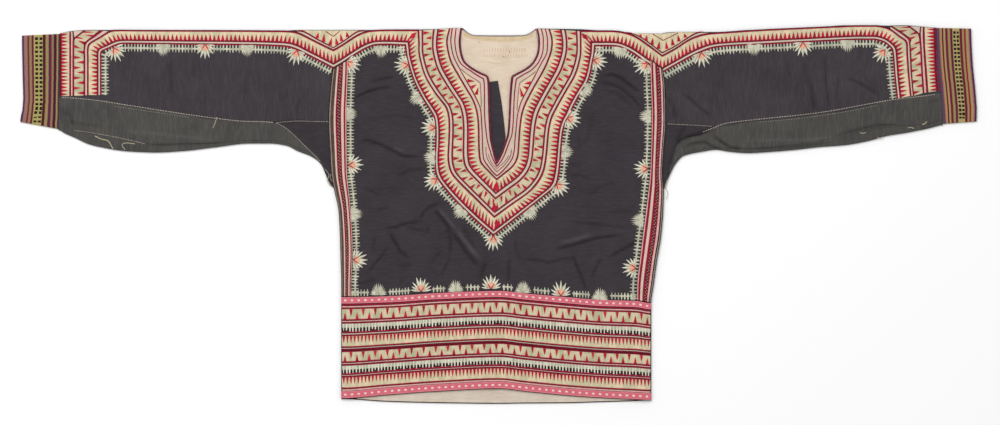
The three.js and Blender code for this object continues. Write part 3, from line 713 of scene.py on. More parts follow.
# Painted light: the sleeves' copy of the indigo cotton is lighter than the body's, in part to make up for
# the lamp light that falls off towards the sleeves; its grain runs along the sleeve.
SLEEVE_INDIGO_PAINTED_LIGHTER = WovenCotton("indigo_sleeve_cotton_painted_lighter", "#383438", "#413d41", "#504c50", slant=math.pi / 2)
STRIP_COTTON = WovenCotton("faded_strip_cotton", "#424140", "#4e4d49", "#5d5b55", slub_share=0.5,
                           slant=math.pi / 2)
ARMPIT_COTTON = WovenCotton("armpit_cotton", "#332f33", "#3a363a", "#464247")
NECK_COTTON = WovenCotton("neck_lining_cotton", "#d8c6b2", "#cab69f", "#e2d5c0", slub_share=0.5,
                          patch_size=30)
HEM_COTTON = WovenCotton("hem_lining_cotton", "#cfc2b3", "#bfae9c", "#e0d6c6", slub_share=0.5, patch_size=40)
BAND_GROUND = WovenCotton("hem_ground_cotton", "#2b1d1f", "#352325", "#432b2c")
TAPE_SILK = SilkFloss("woven_pink_tape", "#cd6473", "#bb5368", 0.7, patch_size=14, thread=2.2)


@dataclass
class Workshop:
    """What every sub-assembly is made with, and the materials built so far."""

    built: dict[object, bpy.types.Material] = field(default_factory=dict)

    def material(self, finish: object) -> bpy.types.Material:
        """Returns the material of a finish or a thread, built the first time."""
        if finish not in self.built:
            self.built[finish] = (finish.value if isinstance(finish, Thread) else finish).build()
        return self.built[finish]

    def mesh_piece(
        self, name: str, points: Places, quads: np.ndarray, finishes: Sequence[object], slot: str,
        uv: Places | None = None, which: np.ndarray | None = None, tint: np.ndarray | None = None,
    ) -> bpy.types.Object:
        """Makes a piece that rides on the part from points and four-sided faces.

        Args:
            name: The piece's name.
            points: Its points, in millimetres.
            quads: Its faces, as four point numbers each.
            finishes: Its finishes.
            slot: Not used.
            uv: A place on the pattern for each point.
            which: Number of the finish for each face.
            tint: How each point's colour varies; on cotton it is painted shade in its creases and paler
                ridges, partly wear and partly painted highlight.

        Returns:
            The piece.
        """
        mesh = bpy.data.meshes.new(name)
        mesh.from_pydata((points * MM).tolist(), [], quads.tolist())
        for finish in finishes:
            mesh.materials.append(self.material(finish))
        if which is not None:
            mesh.polygons.foreach_set("material_index", which.astype(np.int32))
        if uv is not None:
            corners = np.zeros(len(mesh.loops), np.int32)
            mesh.loops.foreach_get("vertex_index", corners)
            mesh.uv_layers.new(name="stitches").data.foreach_set("uv", uv[corners].ravel())
        crease_angle = 50.0 if tint is not None else 40.0
        # Cotton gets the creases' painted shade and highlight as its tint.
        if tint is None and isinstance(finishes[0], WovenCotton):
            tint = crease_shade_and_highlight(points[:, 0], points[:, 1])
        if tint is not None:
            mesh.attributes.new("tint", "FLOAT", "POINT").data.foreach_set("value", tint.astype(np.float32))
        mesh.validate()
        piece = bpy.data.objects.new(name, mesh)
        bpy.context.scene.collection.objects.link(piece)
        bpy.ops.object.select_all(action="DESELECT")
        piece.select_set(True)
        bpy.context.view_layer.objects.active = piece
        bpy.ops.object.shade_smooth_by_angle(angle=math.radians(crease_angle))
        piece.select_set(False)
        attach(piece, "root")
        LOG.info("%s: %d faces", name, len(mesh.polygons))
        return piece

    def wall_piece(
        self, name: str, outer: np.ndarray, inner: np.ndarray, finish: object, slot: str, ring: bool = False,
        uv: np.ndarray | None = None, second: tuple[object, np.ndarray] | None = None,
    ) -> bpy.types.Object:
        """Makes a closed sheet of cloth between a grid of outer points and a grid of inner points.

        Args:
            name: The piece's name.
            outer: Outer surface, rows by columns by 3.
            inner: Inner surface, of the same size.
            finish: Its finish.
            slot: Passed on to mesh_piece, which does not use it.
            ring: Whether the columns close on themselves.
            uv: A place on the pattern for each outer point, which the inner point under it shares.
            second: Another finish, and whether each column of faces has it.

        Returns:
            The piece.
        """
        rows, columns = outer.shape[:2]
        number = np.arange(rows * columns).reshape(rows, columns)
        if ring:
            number = np.concatenate([number, number[:, :1]], axis=1)
        ends = 0 if ring else None
        points = np.vstack([outer.reshape(-1, 3), inner.reshape(-1, 3)])
        quads = facing_out(points, np.vstack(sheet_faces(number, rows * columns, ends, ends)))
        both = None if uv is None else np.vstack([uv.reshape(-1, 2)] * 2)
        finishes, which = [finish], None
        if second is not None:
            finishes.append(second[0])
            which = np.zeros(len(quads), int)
            strips = np.tile(second[1], 2 * (rows - 1))
            which[: len(strips)] = strips
        return self.mesh_piece(name, points, quads, finishes, slot, both, which)

    def draped(
        self, name: str, plan: np.ndarray, height: Height, thickness: float, finish: object, slot: str
    ) -> bpy.types.Object:
        """Makes a sheet of upright thickness under a surface.

        Args:
            name: The piece's name.
            plan: Its places, rows by columns by 2.
            height: Height of its upper surface.
            thickness: Its thickness.
            finish: Its finish.
            slot: Passed on, and not used.

        Returns:
            The piece.
        """
        z = height(plan[..., 0], plan[..., 1])
        return self.wall_piece(name, np.dstack([plan, z]), np.dstack([plan, z - thickness]), finish, slot)


def facing_out(points: Places, quads: np.ndarray) -> np.ndarray:
    """Returns the faces of a closed mesh turned so that they point outwards."""
    a, b, c, d = (points[quads[:, k]] for k in range(4))
    volume = np.sum(a * np.cross(b, c)) + np.sum(a * np.cross(c, d))
    return quads[:, ::-1] if volume < 0 else quads


# ---------------------------------------------------------------- stitches


@dataclass(frozen=True)
class StitchShape:
    """A raised stitch, modelled once: a bar of floss whose sections vary in width and height."""

    name: str
    sections: tuple[tuple[float, float, float], ...]  # share along, width, height
    crown: float = 0.5  # width of the top against the foot

    def model(self) -> tuple[Places, np.ndarray]:
        """Models the stitch on the unit length and keeps its points and faces.

        Returns:
            Its points (across, along, up) and its four-sided faces.
        """
        bpy.ops.object.select_all(action="DESELECT")
        bpy.ops.mesh.primitive_cube_add(size=1.0, location=(0.0, 0.5, 0.5))
        stitch = bpy.context.object
        bpy.ops.object.transform_apply(location=True, rotation=False, scale=False)
        bpy.ops.object.mode_set(mode="EDIT")
        for share, _, _ in self.sections[1:-1]:
            bpy.ops.mesh.select_all(action="SELECT")
            bpy.ops.mesh.bisect(plane_co=(0, share, 0), plane_no=(0, 1, 0))
        for share, width, height in self.sections:
            self.resize_section(stitch, share, 0.0, (width, 1, 1))
            self.resize_section(stitch, share, 0.5, (self.crown, 1, height))
        bpy.ops.mesh.select_all(action="SELECT")
        bpy.ops.mesh.normals_make_consistent(inside=False)
        bpy.ops.object.mode_set(mode="OBJECT")
        points = np.array([v.co for v in stitch.data.vertices], float)
        quads = np.array([p.vertices for p in stitch.data.polygons], int)
        bpy.data.objects.remove(stitch)
        return points, quads

    def resize_section(
        self, stitch: bpy.types.Object, share: float, above: float, size: tuple[float, float, float]
    ) -> None:
        """Resizes the points of one section about the stitch's middle line.

        Args:
            stitch: The stitch, in edit mode.
            share: Where the section is along the stitch.
            above: Only points at least this high are resized.
            size: Factors across, along and up.
        """
        bpy.ops.mesh.select_all(action="DESELECT")
        edited = bmesh.from_edit_mesh(stitch.data)
        for point in edited.verts:
            point.select = abs(point.co.y - share) < 1e-4 and point.co.z >= above - 1e-4
        edited.select_flush(True)
        bmesh.update_edit_mesh(stitch.data)
        bpy.ops.transform.resize(value=size, center_override=(0, share, 0))


class Shape(Enum):
    """The kinds of raised stitch."""

    WEDGE = StitchShape("wedge", ((0, 1.0, 0.9), (0.5, 0.6, 1.0), (1, 0.08, 0.85)), crown=0.86)
    BAR = StitchShape("bar", ((0, 0.9, 0.7), (0.5, 1.0, 1.0), (1, 0.75, 0.5)))
    PETAL = StitchShape("petal", ((0, 0.3, 0.5), (0.45, 0.95, 1.0), (0.75, 0.8, 0.9), (1, 0.08, 0.3)))
    DIAMOND = StitchShape("diamond", ((0, 0.06, 0.8), (0.5, 1.0, 1.0), (1, 0.06, 0.8)), crown=0.8)
    WEDGE_OUT = StitchShape("heart", ((0, 0.1, 0.8), (0.8, 1.0, 1.0), (1, 0.5, 0.6)), crown=0.8)
    PEG = StitchShape("peg", ((0, 0.7, 0.7), (0.52, 1.2, 1.0), (1, 0.35, 0.5)), crown=0.7)
    BLOCK = StitchShape("block", ((0, 1.0, 0.8), (1, 1.0, 0.8)), crown=0.8)


RIB_STEPS = 10  # steps from one rib of a band to the next


class Band:
    """A strip between an inner and an outer line, on which rows of stitches are set."""

    def __init__(self, inner: Places, outer: Places) -> None:
        """Keeps the two lines, whose points match.

        Args:
            inner: The inner line.
            outer: The outer line.
        """
        self.inner = inner
        self.outer = outer
        self.depth = float(np.mean(np.linalg.norm(outer - inner, axis=1)))

    @classmethod
    def from_ribs(cls, inner: Pixels, outer: Pixels) -> Band:
        """Draws smooth lines through matching pixels of the picture."""
        return cls(spline(on_table(inner), RIB_STEPS), spline(on_table(outer), RIB_STEPS))

    @classmethod
    def beside(cls, line: Places, start: float, end: float) -> Band:
        """Sets a band at two distances to the left of a line's direction, or to the right if below 0."""
        ahead = np.gradient(line, axis=0)
        for _ in range(3):
            ahead[1:-1] = (ahead[:-2] + 2 * ahead[1:-1] + ahead[2:]) / 4
        ahead /= np.linalg.norm(ahead, axis=1)[:, None]
        normal = np.stack([-ahead[:, 1], ahead[:, 0]], axis=1)
        return cls(line + normal * start, line + normal * end)

    def beyond(self, start: float, end: float) -> Band:
        """Returns a band outside this one's outer line, at two distances from it."""
        line = resample(self.outer, max(8, int(along(self.outer)[-1] / 2.5)))
        k = len(line) // 2
        ahead = line[k + 1] - line[k - 1]
        inwards = self.inner[len(self.inner) // 2] - line[k]
        away = -1.0 if ahead[0] * inwards[1] - ahead[1] * inwards[0] > 0 else 1.0
        return Band.beside(line, away * start, away * end)

    def slice(self, start: float, end: float) -> Band:
        """Returns the band between two shares of this one's depth."""
        return Band(mix(self.inner, self.outer, start), mix(self.inner, self.outer, end))

    def place(self, station: np.ndarray, share: np.ndarray) -> Places:
        """Finds places on the band.

        Args:
            station: Point numbers along the lines, with fractions.
            share: Shares of the depth, from the inner line.

        Returns:
            The places, with a last axis of 2.
        """
        count = np.arange(len(self.inner))
        station = np.clip(station, 0, count[-1])
        lines = [
            np.stack([np.interp(station, count, line[:, k]) for k in (0, 1)], axis=-1)
            for line in (self.inner, self.outer)
        ]
        return mix(lines[0], lines[1], np.asarray(share)[..., None])

    @property
    def distances(self) -> np.ndarray:
        """Distance along the band's middle, at each point."""
        return along(mix(self.inner, self.outer, 0.5))

    @property
    def length(self) -> float:
        """Length of the band's middle."""
        return float(self.distances[-1])

    def station(self, distance: np.ndarray) -> np.ndarray:
        """Returns the point numbers at distances along the band's middle."""
        return np.interp(distance, self.distances, np.arange(len(self.inner)))


class Stitchery:
    """Gathers the stitches of one area and makes them one mesh."""

    _models: dict[Shape, tuple[Places, np.ndarray]] = {}

    def __init__(self, shop: Workshop, name: str, lift: float = 0.0, height: Height = cloth_height) -> None:
        """Starts an empty area.

        Args:
            shop: Makes the mesh.
            name: The piece's name.
            lift: Height of the ground over the cloth, as on a tape.
            height: Height of the cloth.
        """
        self.shop = shop
        self.name = name
        self.lift = lift
        self.height = height
        self.random = np.random.default_rng(SEED + len(name))
        self.parts: list[tuple[Places, np.ndarray, Thread, Places, np.ndarray]] = []

    def add(
        self, places: Places, rise: np.ndarray, quads: np.ndarray, thread: Thread, uv: Places,
        tint: np.ndarray,
    ) -> None:
        """Adds faces over the cloth.

        Args:
            places: Where each point is.
            rise: How far each point is above the cloth.
            quads: Faces.
            thread: Their thread.
            uv: A place on the thread pattern for each point.
            tint: Colour variation of each point.
        """
        points = np.column_stack([places, self.height(places[:, 0], places[:, 1]) + self.lift + rise])
        self.parts.append((points, facing_out(points, quads), thread, uv, tint))

    def ribbon(
        self, band: Band, thread: Thread, rise: float, columns: int = 2, spacing: float = 3.0,
        sink: float = 0.25, tint: float | None = None, flatness: float = 2.0,
    ) -> None:
        """Covers a band with a domed closed ribbon.

        Args:
            band: The band.
            thread: Its thread.
            rise: Height of its crown.
            columns: Steps across.
            spacing: Millimetres between its sections.
            sink: How far its foot goes into the cloth.
            tint: Its colour variation, random along it if not given.
            flatness: Power that shapes the dome, round at 2 and flatter above.
        """
        count = max(2, int(band.length / spacing) + 1)
        distance = np.linspace(0, band.length, count)
        share = np.linspace(0, 1, columns + 1)
        top = np.clip(1 - np.abs(2 * share - 1) ** flatness, 0.0, 1.0) * rise + 0.05
        share = np.concatenate([[0.0], share, [1.0]])
        per = len(share)
        station = band.station(distance)[:, None]
        places = band.place(station, np.broadcast_to(share, (count, per))).reshape(-1, 2)
        number = np.arange(count * per).reshape(count, per)
        around = np.concatenate([number, number[:, :1]], axis=1)
        sides = np.stack([around[:-1, :-1], around[:-1, 1:], around[1:, 1:], around[1:, :-1]], axis=-1)
        faces = np.vstack([sides.reshape(-1, 4), self.cap(number[0])[:, ::-1], self.cap(number[-1])])
        uv = np.column_stack([np.repeat(distance, per), np.tile(share * band.depth, count)])
        tints = self.random.random(count) if tint is None else np.full(count, tint)
        rises = np.tile(np.concatenate([[-sink], top, [-sink]]), count)
        self.add(places, rises, faces, thread, uv, np.repeat(tints, per))

    @staticmethod
    def cap(ring: np.ndarray) -> np.ndarray:
        """Returns four-sided faces that close a ring of points, pairing its two ends inwards."""
        faces = []
        low, high = 0, len(ring) - 1
        while high - low >= 2:
            faces.append((ring[low], ring[low + 1], ring[max(high - 1, low + 2)], ring[high]))
            low, high = low + 1, high - 1
        return np.array(faces, int)

    def press(
        self, shape: Shape, thread: Thread, places: np.ndarray, uv: Places, rise: float, sink: float
    ) -> None:
        """Adds stitches of one shape.

        Args:
            shape: The kind of stitch.
            thread: Their thread.
            places: Where each point of each stitch is, stitches by points by 2.
            uv: A place on the thread pattern for each point.
            rise: Their height.
            sink: How far their feet go into the cloth.
        """
        points, quads = self.model_of(shape)
        count = len(places)
        number = (np.arange(count) * len(points))[:, None, None]
        rises = np.tile(points[:, 2] * (rise + sink) - sink, count)
        tint = np.repeat(self.random.random(count), len(points))
        self.add(places.reshape(-1, 2), rises, (quads + number).reshape(-1, 4), thread, uv, tint)

    def stamp(
        self, band: Band, shape: Shape, thread: Thread, width: float, rise: float, at: np.ndarray,
        outwards: bool = True, uneven: float = 0.1, sink: float = 0.2,
    ) -> None:
        """Sets one stitch across a band at each distance along it.

        Args:
            band: The band, which a stitch crosses from line to line.
            shape: The kind of stitch.
            thread: Its thread.
            width: Its width along the band.
            rise: Its height.
            at: Distances along the band's middle.
            outwards: Whether its foot is on the inner line.
            uneven: How much its width and length vary.
            sink: How far its foot goes into the cloth.
        """
        points, _ = self.model_of(shape)
        vary = 1 + self.random.uniform(-uneven, uneven, (len(at), 2))
        distance = at[:, None] + points[:, 0] * width * vary[:, :1]
        share = np.minimum(points[:, 1] * vary[:, 1:], 1.0)
        share = share if outwards else 1 - share
        uv = np.column_stack([distance.ravel(), share.ravel() * band.depth])
        self.press(shape, thread, band.place(band.station(distance), share), uv, rise, sink)

    def single(
        self, shape: Shape, thread: Thread, root: Places, tip: Places, width: float, rise: float
    ) -> None:
        """Sets stitches that each run from a root to a tip.

        Args:
            shape: The kind of stitch.
            thread: Their thread.
            root: Their roots, count by 2.
            tip: Their tips.
            width: Their width.
            rise: Their height.
        """
        points, _ = self.model_of(shape)
        run = (tip - root)[:, None]
        length = np.linalg.norm(run, axis=2)
        side = np.stack([run[..., 1], -run[..., 0]], axis=2) / length[..., None]
        places = root[:, None] + run * points[:, 1:2] + side * points[:, :1] * width
        uv = np.column_stack([np.tile(points[:, 0] * width, len(root)), (length * points[:, 1]).ravel()])
        self.press(shape, thread, places, uv, rise, 0.2)

    def strand(
        self, points: Places, thread: Thread, width: float, rise: float, spacing: float = 3.0
    ) -> None:
        """Lays a thread along a line.

        Args:
            points: The line.
            thread: The thread.
            width: Its width.
            rise: Its height.
            spacing: Millimetres between its sections.
        """
        line = resample(points, max(3, int(along(points)[-1] / spacing) + 1))
        self.ribbon(Band.beside(line, -width / 2, width / 2), thread, rise, spacing=spacing)

    def rays(
        self, shape: Shape, thread: Thread, root: Places, turns: np.ndarray, start: float, end: np.ndarray,
        width: float, rise: float,
    ) -> None:
        """Sets stitches that fan out from a point.

        Args:
            shape: The kind of stitch.
            thread: Their thread.
            root: The point.
            turns: Direction of each, in radians.
            start: How far from the point they start.
            end: How far from the point each ends.
            width: Their width.
            rise: Their height.
        """
        way = np.stack([np.cos(turns), np.sin(turns)], axis=1)
        end = np.broadcast_to(end, turns.shape)[:, None]
        self.single(shape, thread, root + way * start, root + way * end, width, rise)

    @classmethod
    def model_of(cls, shape: Shape) -> tuple[Places, np.ndarray]:
        """Returns a stitch's points and faces, modelled the first time."""
        if shape not in cls._models:
            cls._models[shape] = shape.value.model()
        return cls._models[shape]

    def finish(self, slot: str = "embroidery") -> None:
        """Makes the gathered stitches one piece."""
        points, quads, threads, uv, tint = zip(*self.parts)
        finishes = list(dict.fromkeys(threads))
        starts = np.cumsum([0, *map(len, points)])
        which = np.repeat([finishes.index(thread) for thread in threads], [len(part) for part in quads])
        faces = np.vstack([part + start for part, start in zip(quads, starts)])
        self.shop.mesh_piece(self.name, np.vstack(points), faces, finishes, slot, np.vstack(uv), which,
                             np.concatenate(tint))


# ---------------------------------------------------------------- rows of stitching


class RowKind(Enum):
    """How a row of stitching is made."""

    LINE = "a couched cord with a darker core"
    GROUND = "laid floss that covers the cloth"
    TEETH_OUT = "wedges with their bases on the outer side"
    TEETH_IN = "wedges with their bases on the inner side"
    ZIGZAG = "wedges that point in and out in turn"
    LADDER = "open bars with a running line"
    HALF_LADDER = "open bars whose inner half is filled"


# The kinds by their own names, for the tables of rows.
LINE, GROUND, TEETH_OUT, TEETH_IN, ZIGZAG, LADDER, HALF_LADDER = RowKind


@dataclass(frozen=True)
class Row:
    """One row of a band, between two distances from its inner line, in pixels of the picture."""

    kind: RowKind
    start: float
    end: float
    thread: Thread = Thread.RED
    pitch: float = 4.4
    core: float = 0.5  # where a line's dark core lies across it
    base: float = 0.8  # width of a wedge's base, as a share of the pitch


def line_row(at: float, core: float = 0.8, width: float = 1.75) -> Row:
    """Returns a couched line centred at a distance, with its dark side outwards or, at 0.2, inwards."""
    return Row(LINE, at - width / 2, at + width / 2, Thread.DARK_RED, core=core)


class Rows:
    """Sets rows of stitching on a band."""

    line_rise = 0.8
    ground_rise = 0.3
    tooth_rise = 0.85

    def __init__(self, stitches: Stitchery) -> None:
        """Keeps the area that the stitches are gathered in."""
        self.stitches = stitches

    def sew(self, band: Band, rows: Sequence[Row], depth: float) -> None:
        """Sews rows on a band.

        Args:
            band: The band.
            rows: Its rows.
            depth: The band's depth in the rows' own unit.
        """
        for row in rows:
            strip = band.slice(row.start / depth, row.end / depth)
            if row.kind is LINE:
                self.line(strip, row)
            elif row.kind is GROUND:
                columns = 2 if row.end - row.start < 5 else 4
                self.stitches.ribbon(strip, row.thread, self.ground_rise, columns, flatness=6)
            elif row.kind in (LADDER, HALF_LADDER):
                self.ladder(strip, row)
            else:
                self.teeth(strip, row)

    def line(self, strip: Band, row: Row) -> None:
        """Couches a cord with a dark one along one side of it."""
        self.stitches.ribbon(strip, row.thread, self.line_rise)
        half = 0.27
        core = strip.slice(row.core - half, row.core + half)
        self.stitches.ribbon(core, Thread.MAROON, self.line_rise + 0.1)

    def teeth(self, strip: Band, row: Row) -> None:
        """Sets a row of wedges."""
        pitch = row.pitch * PIXEL
        length = strip.length
        count = max(1, round(length / pitch))
        at = (np.arange(count) + 0.5) * length / count
        if row.kind is ZIGZAG:
            for first, low, high, outwards in ((0, 0.3, 1.0, False), (1, 0.0, 0.7, True)):
                part = strip.slice(low, high)
                self.stitches.stamp(part, Shape.WEDGE, row.thread, pitch * row.base, self.tooth_rise,
                                    at[first::2] * part.length / length, outwards)
            return
        self.stitches.stamp(strip, Shape.WEDGE, row.thread, pitch * row.base, self.tooth_rise, at,
                            row.kind is TEETH_IN)

    def ladder(self, strip: Band, row: Row) -> None:
        """Sets bars across a strip, some longer than others, over a running line or a filled half."""
        length = strip.length
        count = max(1, round(strip.slice(0.0, 0.6).length / (row.pitch * PIXEL)))
        at = (np.arange(count) + 0.5) * length / count
        at += self.stitches.random.uniform(-0.3, 0.3, count)
        shape, run = (Shape.BAR, (0.0, 0.5)) if row.kind is HALF_LADDER else (Shape.PEG, (0.4, 0.62))
        self.stitches.stamp(strip, shape, row.thread, 1.7 * PIXEL, 0.7, at, uneven=0.2)
        self.stitches.ribbon(strip.slice(*run), Thread.SAGE, 0.5, 3, spacing=1.6)


YOKE_DEPTH = 29.9
YOKE_ROWS = (
    Row(GROUND, 0.6, 10.4, Thread.CREAM),
    Row(TEETH_OUT, 3.4, 9.9, Thread.RED, 4.1, base=0.84),
    line_row(0.0, 0.2),
    line_row(10.8),
    Row(GROUND, 11.5, 14.5, Thread.PALE),
    line_row(15.2, 0.2),
    Row(GROUND, 16.0, 25.2, Thread.MINT),
    Row(ZIGZAG, 16.8, 24.9, Thread.RED, 5.5, base=0.6),
    line_row(25.9),
    Row(GROUND, 26.6, 29.6, Thread.PALE),
)
BORDER_DEPTH = 13.0
BORDER_ROWS = (
    Row(GROUND, 0.6, 9.2, Thread.CREAM),
    Row(TEETH_OUT, 3.2, 8.9, Thread.RED, 4.2, base=0.78),
    line_row(0.0, 0.2),
    line_row(9.6),
    Row(GROUND, 10.3, 12.4, Thread.PALE),
    line_row(13.0, 0.2),
)
EDGING = Row(LADDER, 0.6, 8.4, Thread.SAGE, 3.2)

# Matching points of the yoke's innermost line, of the line its outer border starts at, and of its edge, in
# turn: three points, so six numbers, for each rib.
YOKE_LEFT = np.reshape((
    449.6, 28.4, 418.3, 30.5, 405.2, 45.4, 446.9, 40, 418.9, 43, 406.2, 53, 447.8, 50, 419.3, 55, 407.6, 60,
    451.3, 62.5, 424.6, 74.5, 413.6, 79.5, 459.1, 76.6, 433.6, 90.5, 422.4, 97.5, 467, 90, 440.7, 100,
    429.6, 109, 473.3, 101, 446.1, 107.3, 434, 117, 476.9, 112.5, 448.8, 117, 435.4, 125, 478.4, 126, 449.3,
    130, 435.8, 133, 478.7, 142, 448.7, 145, 435.6, 146, 479.2, 153, 448.2, 157, 434.9, 160, 480.4, 161.3,
    449.5, 167, 436.3, 174.5, 483.5, 166, 453.3, 175.5, 442, 184.5, 488, 170.7, 464, 187, 457.5, 202.5,
    492.3, 175.2, 479.2, 202, 476, 220.5, 496.7, 179.6, 494.3, 217, 493.4, 235.3,
), (-1, 3, 2))
YOKE_RIGHT = np.reshape((
    549.4, 29.2, 580.5, 31.2, 595.1, 45.8, 552.1, 39.9, 580.8, 43, 594.3, 54, 551.3, 50.6, 580.2, 56.9,
    592.9, 60, 547.1, 62.9, 575.3, 74.2, 588.5, 79.5, 541.8, 73.6, 567.9, 87.6, 580, 93.9, 535.6, 84.3,
    561.4, 98.8, 573.6, 105.6, 530, 94.5, 556, 108.7, 569.3, 115.5, 524.9, 105, 551.8, 117, 565.6, 122.5,
    521.8, 115, 549.2, 127, 563.2, 130, 519.8, 130, 547.9, 137.5, 561.8, 139.5, 518.8, 145, 546.9, 149,
    560.9, 150, 518, 154.9, 545.6, 160.5, 560, 162, 515.9, 161.5, 543.2, 171.5, 558.6, 174.5, 512.5, 166.5,
    538.2, 181.5, 555.4, 186, 508.3, 170.3, 528.5, 192.3, 543.2, 196.5, 502.4, 175, 511.5, 204.5, 519.3,
    215.5, 496.7, 179.6, 494.3, 217, 493.4, 235.3,
), (-1, 3, 2))
# The border beyond the yoke's corner: matching points of its upper and its lower line in turn, from the
# yoke to the fork over the side strip, and on along the sleeve.
SHOULDER_LEFT = np.reshape((
    418.3, 30.5, 405.2, 45.4, 405, 30.4, 401.5, 45.2, 390, 30.4, 388.4, 44.6, 377, 30.7, 376, 44.9, 367.5,
    31.7, 368.4, 47.2, 359, 34.8, 360, 51.6, 350, 40.2, 350.2, 57.8, 341.6, 45.8, 341.6, 63.4, 333.4, 50.4,
    333.4, 68.2,
), (-1, 2, 2))
SLEEVE_LEFT = np.reshape((
    333.4, 50.4, 333.4, 68.2, 320, 44.1, 320, 61.2, 304.3, 36.1, 303, 52.6, 297.4, 33, 295.5, 49, 288, 31.6,
    285.5, 46.4, 265, 31.3, 264, 45.2, 240, 31.1, 240, 44.7, 180, 30.9, 180, 44, 136, 30.7, 137, 43.5, 118,
    30.6, 123, 43.5, 110, 31.6, 116, 45, 100, 37.6, 109.5, 47.8, 90.5, 43.2, 102.4, 50.8, 88, 48, 100.9, 54,
    87.9, 60, 100.9, 62.5, 87.9, 78, 100.9, 78, 87.9, 95, 100.9, 95,
), (-1, 2, 2))
SHOULDER_RIGHT = np.reshape((
    580.5, 31.2, 595.1, 45.8, 596, 31.3, 599, 45.8, 612, 31.4, 611, 45.8, 622, 32.4, 620, 47, 634.7, 36.4,
    631.2, 52.2, 647.6, 45, 645.4, 61.9, 655, 50.4, 654, 67.4, 662.3, 56, 662.3, 72.4,
), (-1, 2, 2))
SLEEVE_RIGHT = np.reshape((
    662.3, 56, 662.3, 72.4, 675, 49.1, 676, 64.6, 688.5, 40.4, 690.5, 56.8, 697.9, 36.4, 700.2, 52.2, 708.6,
    34, 712.3, 47.8, 728, 32.6, 728.8, 45.7, 760, 30.4, 760, 44.2, 805, 28.3, 805, 41.8, 850, 26.3, 850,
    39.6, 870, 26.1, 867, 39.4, 879.5, 26.4, 875.5, 39.6, 890, 29.6, 883.5, 41.8, 900, 37, 889.2, 45.8,
    906.3, 42, 892.2, 50, 907.1, 53, 893.4, 57.5, 908.5, 73.6, 894.9, 77, 910.7, 95.9, 897.2, 98.4,
), (-1, 2, 2))


# ---------------------------------------------------------------- cloth pieces


def neck_line(points: Sequence) -> Places:
    """Draws one side of the neck hole and slit, from the shoulder to the slit's tip."""
    p = np.asarray(points, float)
    hole = spline(p[: NECK_CORNER + 1], NECK_STEPS)
    return np.vstack([hole, spline(p[NECK_CORNER:], NECK_STEPS)[1:]])


def side_line(curve: Table, top: float, bottom: float, count: int) -> Places:
    """Draws a side curve from one height down to another."""
    y = np.linspace(top, bottom, count)
    return np.stack([curve(y), y], axis=1)


def level_line(curve: Callable[[np.ndarray], np.ndarray], start: float, end: float, count: int) -> Places:
    """Draws a curve that runs across the body between two places."""
    x = np.linspace(start, end, count)
    return np.stack([x, curve(x)], axis=1)


def body_foot(x: np.ndarray) -> np.ndarray:
    """Returns where the body's cloth ends at the waist seam."""
    return waist(x) + CLOTH.gap / 2


def hem_head(x: np.ndarray) -> np.ndarray:
    """Returns where the hem bands start at the waist seam."""
    return waist(x) - CLOTH.gap / 2


def down_hem(share: float) -> Callable[[np.ndarray], np.ndarray]:
    """Returns the curve that lies a share of the way down the front hem band."""
    return lambda x: mix(waist(x), front_hem(x), share)


def level(height: float) -> Height:
    """Returns a surface of one height."""
    return lambda x, y: np.full_like(x, height)


